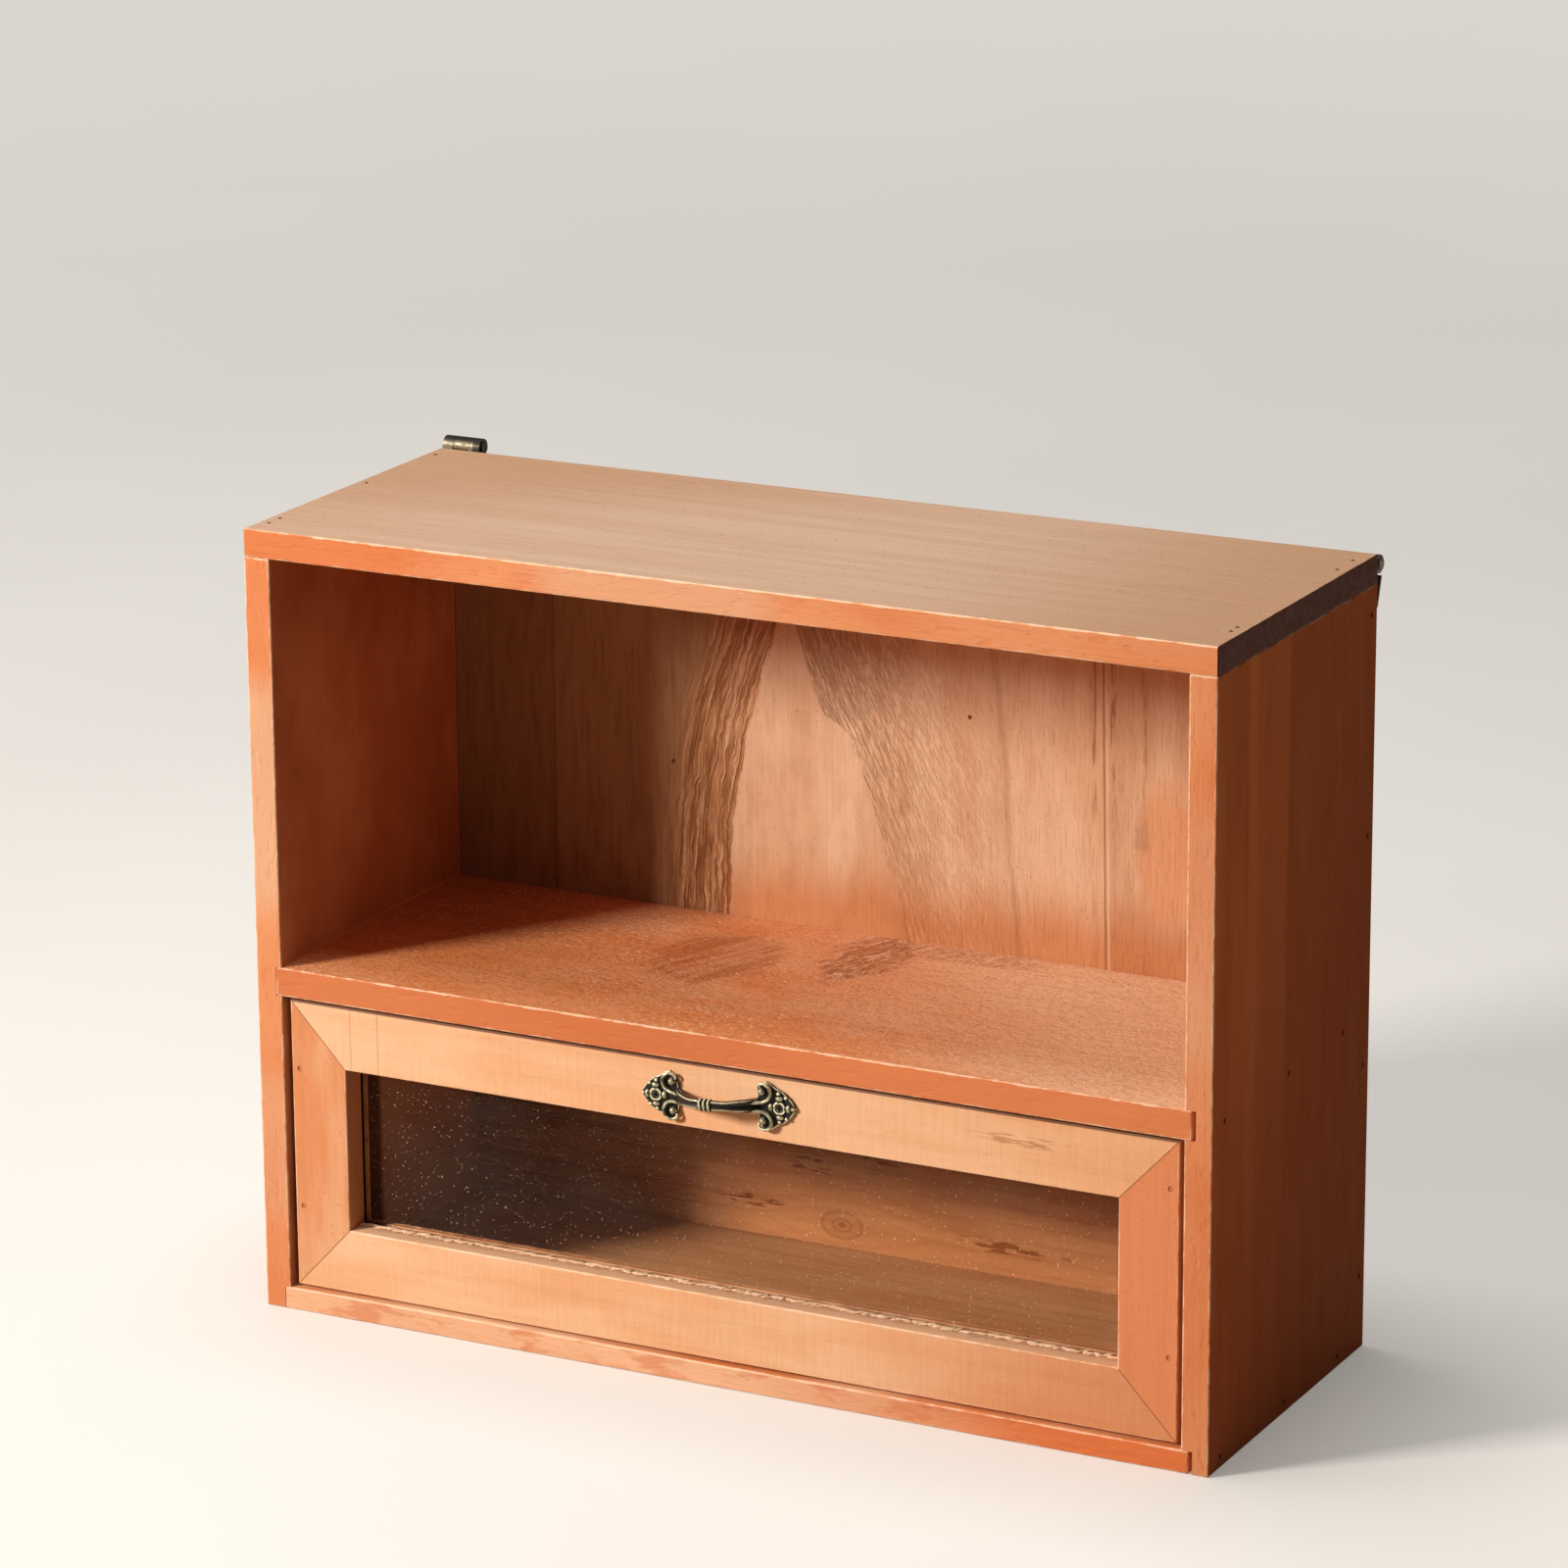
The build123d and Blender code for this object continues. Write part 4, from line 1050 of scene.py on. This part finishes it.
BOW_HALF_SPAN = 16.4
BOW_RISE = 11.2
BOW_FOOT = 0.9
BOW_LIFT = 0.12
BOW_WIDTH = 4.1
BOW_THICKNESS = 3.2
BOW_STATIONS = 44
LEAF_START = 0.42
LEAF_SPREAD = 1.3
LEAF_THINNING = 0.6
WAIST_PLACE = 0.34
WAIST_REACH = 0.14
WAIST_DEPTH = 0.3
GROOVE_DEPTH = 0.34
GROOVE_LEAF = 0.14
GROOVE_TURN = math.radians(21)
RIDGE_HEIGHT = 0.2
RIDGE_TURN = math.radians(14)
RIDGE_PLACES = (math.radians(48), math.radians(132))
RING_PITCH = 1.85
RING_WIDTH = 4.0
RING_THICKNESS = 3.3
RING_PROFILE = ((-0.62, 0.1), (-0.42, 0.46), (0.0, 0.62), (0.42, 0.46), (0.62, 0.1))
BOSS_RADIUS = 2.6
BOSS_HEIGHT = 1.1
BALL_RADIUS = 1.6
PETAL_COUNT = 4
PETAL_RING = 3.6
PETAL_REACH = (1.2, 1.5, 1.1)
BORE_RADIUS = 1.9
BORE_MIDDLE = 3.0
BORE_LENGTH = 4.0
PROUD_ROUNDS = 14


def bow_shape(turn, station):
    """The fluted section: two ridges with a long groove between them."""
    wide, thick, groove = station["wide"], station["thick"], station["groove"]
    out = math.sin(turn)
    reach = 1.0
    if out > 0:
        off = (turn - math.pi / 2) / GROOVE_TURN
        reach -= groove * math.exp(-off * off)
        for ridge in RIDGE_PLACES:
            off = (turn - ridge) / RIDGE_TURN
            reach += RIDGE_HEIGHT * math.exp(-off * off)
    return (0.0, wide / 2 * math.cos(turn) * reach, thick / 2 * out * reach)


def ring_shape(turn, station):
    """The plain oval of a ring round the bow."""
    return (0.0, station["wide"] / 2 * math.cos(turn), station["thick"] / 2 * math.sin(turn))


def add_bow(bm):
    """The grip, an arc that widens into a leaf at each end, with rings at its crown."""
    rise = BOW_RISE - BOW_FOOT
    radius = (BOW_HALF_SPAN**2 + rise**2) / (2 * rise)
    end = math.asin(BOW_HALF_SPAN / radius)
    centre = Vector((0.0, 0.0, BOW_RISE - radius))
    lift = Matrix.Identity(4)
    lift[1][2] = BOW_LIFT
    stations = []
    for index in range(BOW_STATIONS + 1):
        part = 2 * index / BOW_STATIONS - 1
        turned = Matrix.Translation(centre) @ Matrix.Rotation(part * end, 4, "Y")
        leaf = max(0.0, abs(part) - LEAF_START) / (1 - LEAF_START)
        waist = math.exp(-((abs(part) - WAIST_PLACE) / WAIST_REACH) ** 2)
        stations.append({
            "place": lift @ turned @ Matrix.Translation((0.0, 0.0, radius)),
            "wide": BOW_WIDTH + LEAF_SPREAD * math.sin(leaf * math.pi / 2) - WAIST_DEPTH * waist,
            "thick": BOW_THICKNESS - LEAF_THINNING * leaf,
            "groove": GROOVE_DEPTH + GROOVE_LEAF * math.sin(math.pi * min(1.0, leaf * 1.1)),
        })
    add_sweep(bm, stations, bow_shape)
    for step in (-1, 0, 1):
        stations = []
        for offset, swell in RING_PROFILE:
            stations.append({
                "place": lift @ Matrix.Translation((step * RING_PITCH + offset, 0.0, BOW_RISE)),
                "wide": RING_WIDTH + 2 * swell,
                "thick": RING_THICKNESS + 2 * swell,
            })
        add_sweep(bm, stations, ring_shape)


def add_handle_end(bm, hole, plate, rib):
    """The right-hand end: plate, two scrolls with balls, rosette and pointed tip."""
    outline = [(-9.6, 1.4), (-9.0, 5.4), (-7.8, 8.4), (-5.8, 9.5), (-4.0, 9.0), (-1.6, 7.3),
               (1.4, 6.0), (3.7, 4.0), (5.0, 2.5), (6.5, 0.0)]
    outline += [(u, -v) for u, v in reversed(outline[:-1])]
    add_plate(bm, [(hole + u, v) for u, v in outline], plate)
    add_disc(bm, (hole, 0.0), BOSS_RADIUS, plate + BOSS_HEIGHT)
    for side in (1, -1):
        add_ball(bm, (hole - 7.1, side * 5.7, plate + 0.5), (BALL_RADIUS, BALL_RADIUS, BALL_RADIUS))
        scroll = [
            (-13.6, 1.5, 6.2, 0.75), (-11.2, 1.6, 4.6, 0.9), (-8.6, 1.6, 3.4, 0.95),
            (-6.2, 1.9, 2.8, 1.0), (-4.1, 3.2, 2.6, 1.05), (-3.2, 5.6, 2.5, 1.1),
            (-3.9, 7.9, 2.5, 1.1), (-5.8, 9.0, 2.4, 1.1), (-7.9, 8.7, 2.3, 1.0),
            (-8.9, 7.6, 2.2, 0.8), (-8.6, 6.7, 2.1, 0.6),
        ]
        add_rib(bm, [(hole + u, side * v, w, rib * r) for u, v, w, r in scroll])
        for u, v, size in ((-0.3, 5.4, 0.85), (2.6, 4.1, 0.75)):
            add_ball(bm, (hole + u, side * v, plate + 0.2), (size, size, size))
    add_ball(bm, (hole + 5.0, 0.0, plate + 0.1), (1.3, 0.9, 0.9))
    for step in range(PETAL_COUNT):
        turn = Matrix.Rotation(2 * math.pi * step / PETAL_COUNT, 4, "Z")
        outward = Matrix.Translation((PETAL_RING, 0.0, 0.0)) @ Matrix.Diagonal((*PETAL_REACH, 1.0))
        petal = Matrix.Translation((hole, 0.0, plate + 0.4)) @ turn @ outward
        bmesh.ops.create_uvsphere(bm, u_segments=20, v_segments=12, radius=1.0, matrix=petal)


def settle_modifiers(piece):
    """Applies every modifier of a piece."""
    depsgraph = bpy.context.evaluated_depsgraph_get()
    mesh = bpy.data.meshes.new_from_object(piece.evaluated_get(depsgraph))
    mesh.name = piece.name
    old = piece.data
    piece.modifiers.clear()
    piece.data = mesh
    bpy.data.meshes.remove(old)


def mark_ridges(mesh, rounds):
    """Stores in millimetres how far each point stands proud of those round it."""
    count = len(mesh.vertices)
    points = np.empty(count * 3)
    mesh.vertices.foreach_get("co", points)
    points = points.reshape(-1, 3)
    normals = np.empty(count * 3)
    mesh.vertices.foreach_get("normal", normals)
    edges = np.empty(len(mesh.edges) * 2, dtype=np.int64)
    mesh.edges.foreach_get("vertices", edges)
    first, second = edges.reshape(-1, 2).T
    ties = np.bincount(first, minlength=count) + np.bincount(second, minlength=count) + 1
    smooth = points.copy()
    for _ in range(rounds):
        for axis in range(3):
            values = smooth[:, axis]
            spread = values + np.bincount(first, values[second], count)
            spread += np.bincount(second, values[first], count)
            smooth[:, axis] = spread / ties
    proud = ((points - smooth) * normals.reshape(-1, 3)).sum(1) / MM
    layer = mesh.attributes.new("proud", "FLOAT", "POINT")
    layer.data.foreach_set("value", proud.astype(np.float32))


def cast_finish(name):
    """Aged bronze, near black in the recesses and bright on the ridges, rubbed and with a painted highlight.
    """
    tree = Tree(name)
    handle = bpy.context.scene.storage_box.handle
    proud = tree.node("ShaderNodeAttribute", attribute_name="proud").outputs["Fac"]
    grime = tree.less(tree.noise(1.6, 4.0, 4.0, 0.65), 0.5)
    level = tree.sum(proud, tree.times(grime, 0.06))
    colour = tree.mix(tree.ramp(level, -0.03, 0.04), rgba(handle.recess), rgba(handle.metal))
    # Pale ridges: rubbed metal with a painted highlight.
    colour = tree.mix(tree.ramp(level, 0.03, 0.1), colour, rgba(handle.ridge))
    rough = tree.ramp(level, -0.03, 0.1, 0.6, 0.3)
    pits = tree.noise(0.35, 9.0, 2.0, 0.6)
    relief = tree.bump(tree.times(pits, 0.03))
    return tree.output(tree.principled(colour, rough, relief, Metallic=0.55))


def handle_matrix(settings):
    """From the handle's own millimetres to its place on the top rail."""
    low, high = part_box("handle")
    tilt = settings.tilt
    right = Vector((math.cos(tilt), 0.0, math.sin(tilt)))
    up = Vector((-math.sin(tilt), 0.0, math.cos(tilt)))
    out = Vector((0.0, -1.0, 0.0))
    turned = Matrix((right, up, out)).transposed().to_4x4()
    place = Matrix.Translation(((low.x + high.x) / 2, high.y, (low.z + high.z) / 2))
    return place @ turned @ Matrix.Scale(MM, 4)


def build_handle():
    """The cast handle in one skin, bored for its screws."""
    settings = bpy.context.scene.storage_box.handle
    hole = settings.hole_spacing / MM / 2
    bm = bmesh.new()
    add_handle_end(bm, hole, settings.plate / MM, settings.rib / MM)
    right_end = bm.verts[:] + bm.edges[:] + bm.faces[:]
    bmesh.ops.mirror(bm, geom=right_end, axis="X", merge_dist=-1.0)
    bmesh.ops.recalc_face_normals(bm, faces=bm.faces[:])
    add_bow(bm)
    bmesh.ops.recalc_face_normals(bm, faces=bm.faces[:])
    piece = end_piece(bm, "cast_handle", None)
    skin = piece.modifiers.new("skin", "REMESH")
    skin.mode = "VOXEL"
    skin.voxel_size = settings.detail / MM
    soften = piece.modifiers.new("soften", "SMOOTH")
    soften.factor = 0.5
    soften.iterations = 2
    settle_modifiers(piece)

    cutter = bmesh.new()
    for side in (-1, 1):
        place = Matrix.Translation((side * hole, 0.0, BORE_MIDDLE))
        bmesh.ops.create_cone(
            cutter, cap_ends=True, segments=40, radius1=BORE_RADIUS, radius2=BORE_RADIUS,
            depth=BORE_LENGTH, matrix=place,
        )
    below = Matrix.Translation((0.0, 0.0, -5.0)) @ Matrix.Diagonal((100.0, 40.0, 10.0, 1.0))
    bmesh.ops.create_cube(cutter, size=1.0, matrix=below)
    tool = end_piece(cutter, "handle_bores", None)
    bore = piece.modifiers.new("bore", "BOOLEAN")
    bore.operation = "DIFFERENCE"
    bore.solver = "EXACT"
    bore.object = tool
    settle_modifiers(piece)
    bpy.data.objects.remove(tool)

    piece.data.transform(handle_matrix(settings))
    piece.data.shade_smooth()
    mark_ridges(piece.data, PROUD_ROUNDS)
    piece.data.materials.clear()
    piece.data.materials.append(cast_finish("cast_handle_finish"))
    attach(piece, "drawer")
    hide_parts("handle")
    dress("handle_screws", screw_finish())


def screw_finish():
    """Dull grey heads with grime in their crosses."""
    tree = Tree("handle_screw_finish")
    settings = bpy.context.scene.storage_box.handle
    worn = tree.ramp(tree.noise(0.7, 5.0, 3.0), 0.4, 0.6)
    colour = tree.mix(worn, rgba(settings.metal), rgba(settings.screw))
    place = handle_matrix(settings)
    for side in (-1, 1):
        centre = place @ Vector((side * settings.hole_spacing / MM / 2, 0.0, 2.0))
        cross = tree.spot([value / MM for value in centre], (1.0, ANYWHERE, 1.0))
        colour = tree.mix(cross, colour, rgba(settings.grime))
    return tree.output(tree.principled(colour, tree.ramp(worn, 0.0, 1.0, 0.5, 0.35), None, Metallic=0.6))


def build_splinters():
    """Torn fibres along the bottom rail's sill, against the pane."""
    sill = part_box("drawer_bottom_rail")[1].z
    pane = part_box("glass_pane")[0].y
    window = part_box("glazing_strip_bottom")
    draw = random.Random(12)
    bm = bmesh.new()
    place, end = window[0].x + 6 * MM, window[1].x - 6 * MM
    while place < end:
        long = draw.uniform(2.4, 5.0) * MM
        thick = draw.uniform(0.34, 0.62) * MM
        slant = draw.uniform(0.35, 0.65)
        spot = Vector((place, pane - draw.uniform(1.7, 3.4) * MM, sill + thick * draw.uniform(0.3, 0.8)))
        shape = Matrix.Translation(spot) @ Matrix.Rotation(slant, 4, "Z")
        shape = shape @ Matrix.Rotation(draw.uniform(-0.15, 0.15), 4, "Y")
        shape = shape @ Matrix.Diagonal((long / 2, thick, thick * 0.8, 1.0))
        bmesh.ops.create_icosphere(bm, subdivisions=2, radius=1.0, matrix=shape)
        place += long * draw.uniform(0.16, 0.4)
    tree = Tree("splinter_finish")
    wood = bpy.context.scene.storage_box.wood
    fibre = tree.ramp(tree.noise((3.0, 0.3, 0.3), 3.0, 3.0), 0.35, 0.65)
    colour = tree.mix(fibre, rgba(wood.worn), rgba(wood.rail_pale))
    relief = tree.bump(tree.times(fibre, 0.05))
    piece = end_piece(bm, "sill_splinters", tree.output(tree.principled(colour, 0.6, relief)))
    piece.data.shade_smooth()
    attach(piece, "drawer")


KEY_SIZE = (0.5, 0.46)
KEY_TINT = (1.0, 0.96, 0.9)
TOP_SIZE = (0.9, 0.9)
TOP_TINT = (0.98, 0.99, 1.0)
TOP_PLACE = (-0.2, 0.0, 2.2)
LAMP_AIM = (0.0, 0.0, 0.17)
FILL_TINT = (1.0, 0.94, 0.88)
FLOOR_REACH = 8.0
BACKLIGHT_FROM = 500.0
BACKLIGHT_TO = 3500.0
BACKLIGHT_FAR = 0.85


def add_lamp(name, place, aim, size, power, colour):
    """A soft square lamp that faces its aim."""
    data = bpy.data.lights.new(name, "AREA")
    data.shape = "RECTANGLE"
    data.size, data.size_y = size
    data.energy = power
    data.color = colour
    lamp = bpy.data.objects.new(name, data)
    lamp.location = place
    lamp.rotation_euler = (aim - place).to_track_quat("-Z", "Y").to_euler()
    bpy.context.scene.collection.objects.link(lamp)


def set_camera(stage):
    """The camera at the photograph's angle."""
    sine, cosine = math.sin(stage.azimuth), math.cos(stage.azimuth)
    level = math.cos(stage.elevation)
    back = Vector((sine * level, -cosine * level, math.sin(stage.elevation)))
    right = Vector((0.0, 0.0, 1.0)).cross(back).normalized()
    turned = Matrix((right, back.cross(right), back)).transposed().to_4x4()
    turned = turned @ Matrix.Rotation(stage.roll, 4, "Z")
    data = bpy.data.cameras.new("camera")
    data.sensor_width = 36.0
    data.lens = stage.lens
    data.clip_end = 100.0
    camera = bpy.data.objects.new("camera", data)
    aim = Vector((stage.aim_side, 0.0, stage.aim_height))
    camera.matrix_world = Matrix.Translation(aim + back * stage.distance) @ turned
    bpy.context.scene.collection.objects.link(camera)
    bpy.context.scene.camera = camera


def set_lamps(stage):
    """A low warm window light from the front left, and soft light overhead."""
    aim = Vector(LAMP_AIM)
    level = math.cos(stage.key_height)
    travel = Vector((
        math.sin(stage.key_bearing) * level, math.cos(stage.key_bearing) * level, -math.sin(stage.key_height)
    ))
    add_lamp("key", aim - travel * stage.key_away, aim, KEY_SIZE, stage.key, KEY_TINT)
    add_lamp("top", Vector(TOP_PLACE), aim, TOP_SIZE, stage.top, TOP_TINT)


def set_floor(stage):
    """A plain pale floor, lit further for the camera, gloss and glass than for the box."""
    bm = bmesh.new()
    bmesh.ops.create_grid(bm, x_segments=1, y_segments=1, size=FLOOR_REACH)
    tree = Tree("floor_finish")
    mottle = tree.noise(400.0, 1.0, 3.0)
    darker = tuple(0.95 * value for value in stage.floor)
    colour = tree.mix(tree.ramp(mottle, 0.3, 0.7), rgba(stage.floor), rgba(darker))
    fine = tree.noise(2.0, 2.0, 2.0)
    relief = tree.bump(tree.times(fine, 0.05))
    away = tree.vector("LENGTH", tree.place).outputs["Value"]
    backlight = tree.ramp(away, BACKLIGHT_FROM, BACKLIGHT_TO, stage.backlight, BACKLIGHT_FAR)
    seen = tree.principled(
        colour, 0.8, relief, Specular_IOR_Level=0.1, Emission_Color=rgba(stage.floor),
        Emission_Strength=backlight,
    )
    thrown = tree.node("ShaderNodeBsdfDiffuse", rgba(stage.bounce)).outputs[0]
    path = tree.node("ShaderNodeLightPath").outputs
    looks = tree.most(tree.most(path["Is Camera Ray"], path["Is Glossy Ray"]), path["Is Transmission Ray"])
    mixed = tree.node("ShaderNodeMixShader", looks, thrown, seen).outputs[0]
    end_piece(bm, "floor", tree.output(mixed))


def set_world(stage):
    """Even fill from all round."""
    world = bpy.data.worlds.new("surround")
    world.use_nodes = True
    fill = world.node_tree.nodes["Background"]
    fill.inputs["Color"].default_value = rgba(FILL_TINT)
    fill.inputs["Strength"].default_value = stage.fill
    bpy.context.scene.world = world
    bpy.context.scene.view_settings.view_transform = "Standard"


class STORAGEBOX_OT_cabinet(Operator):
    """Finish the boards of the cabinet"""

    bl_idname = "storage_box.cabinet"
    bl_label = "Cabinet Boards"

    def execute(self, context):
        dress_top_board()
        dress_side("left_side", 2.0, ((52.0, "side_deep", 0.6), (96.0, "side_pale", 0.5)))
        dress_side("right_side", 3.0, (
            (0.0, "side_deep", 0.35), (29.0, "side_pale", 0.8), (38.0, "side_deep", 0.6),
            (66.0, "side_dark", 0.5),
        ))
        dress_shelf()
        dress_bottom_board()
        dress_back_panel()
        return {"FINISHED"}


class STORAGEBOX_OT_drawer_front(Operator):
    """Finish the drawer's mitred frame and add its torn sill"""

    bl_idname = "storage_box.drawer_front"
    bl_label = "Drawer Front"

    def execute(self, context):
        members = (("drawer_top_rail", "X"), ("drawer_bottom_rail", "X"),
                   ("drawer_left_stile", "Z"), ("drawer_right_stile", "Z"))
        for index, (node, grain) in enumerate(members):
            dress_frame_member(node, grain, 11.0 + 1.3 * index)
        build_splinters()
        return {"FINISHED"}


class STORAGEBOX_OT_drawer_box(Operator):
    """Finish the drawer's box and the strips that hold its pane"""

    bl_idname = "storage_box.drawer_box"
    bl_label = "Drawer Box"

    def execute(self, context):
        dress_drawer_box()
        dress_glazing_strips()
        return {"FINISHED"}


class STORAGEBOX_OT_glass(Operator):
    """Finish the pane"""

    bl_idname = "storage_box.glass"
    bl_label = "Glass"

    def execute(self, context):
        dress_glass()
        return {"FINISHED"}


class STORAGEBOX_OT_hardware(Operator):
    """Finish the brads, pins, ears and screws"""

    bl_idname = "storage_box.hardware"
    bl_label = "Ears and Brads"

    def execute(self, context):
        dress_hardware()
        return {"FINISHED"}


class STORAGEBOX_OT_handle(Operator):
    """Model the cast handle and finish its screws"""

    bl_idname = "storage_box.handle"
    bl_label = "Handle"

    def execute(self, context):
        build_handle()
        return {"FINISHED"}


class STORAGEBOX_OT_stage(Operator):
    """Set the camera, the lamps, the floor and the surround"""

    bl_idname = "storage_box.stage"
    bl_label = "Stage"

    def execute(self, context):
        stage = context.scene.storage_box.stage
        set_camera(stage)
        set_lamps(stage)
        set_floor(stage)
        set_world(stage)
        return {"FINISHED"}


OPERATORS = (
    STORAGEBOX_OT_stage,
    STORAGEBOX_OT_cabinet,
    STORAGEBOX_OT_drawer_front,
    STORAGEBOX_OT_drawer_box,
    STORAGEBOX_OT_glass,
    STORAGEBOX_OT_hardware,
    STORAGEBOX_OT_handle,
)


class STORAGEBOX_PT_pieces(Panel):
    """Lists the pieces in the sidebar"""

    bl_idname = "STORAGEBOX_PT_pieces"
    bl_label = "Storage Box"
    bl_space_type = "VIEW_3D"
    bl_region_type = "UI"
    bl_category = "Storage Box"

    def draw(self, context):
        for operator in OPERATORS:
            self.layout.operator(operator.bl_idname)


CLASSES = (
    WoodSettings, HandleSettings, HardwareSettings, GlassSettings, StageSettings,
    StorageBoxSettings, *OPERATORS, STORAGEBOX_PT_pieces,
)


def register():
    """Adds the classes and the settings."""
    for item in CLASSES:
        bpy.utils.register_class(item)
    bpy.types.Scene.storage_box = PointerProperty(type=StorageBoxSettings)


def unregister():
    """Takes the settings and the classes away again."""
    del bpy.types.Scene.storage_box
    for item in reversed(CLASSES):
        bpy.utils.unregister_class(item)


def main():
    """Builds every piece and the stage."""
    register()
    bpy.ops.storage_box.stage()
    bpy.ops.storage_box.cabinet()
    bpy.ops.storage_box.drawer_front()
    bpy.ops.storage_box.drawer_box()
    bpy.ops.storage_box.glass()
    bpy.ops.storage_box.hardware()
    bpy.ops.storage_box.handle()


if __name__ == "__main__":
    main()
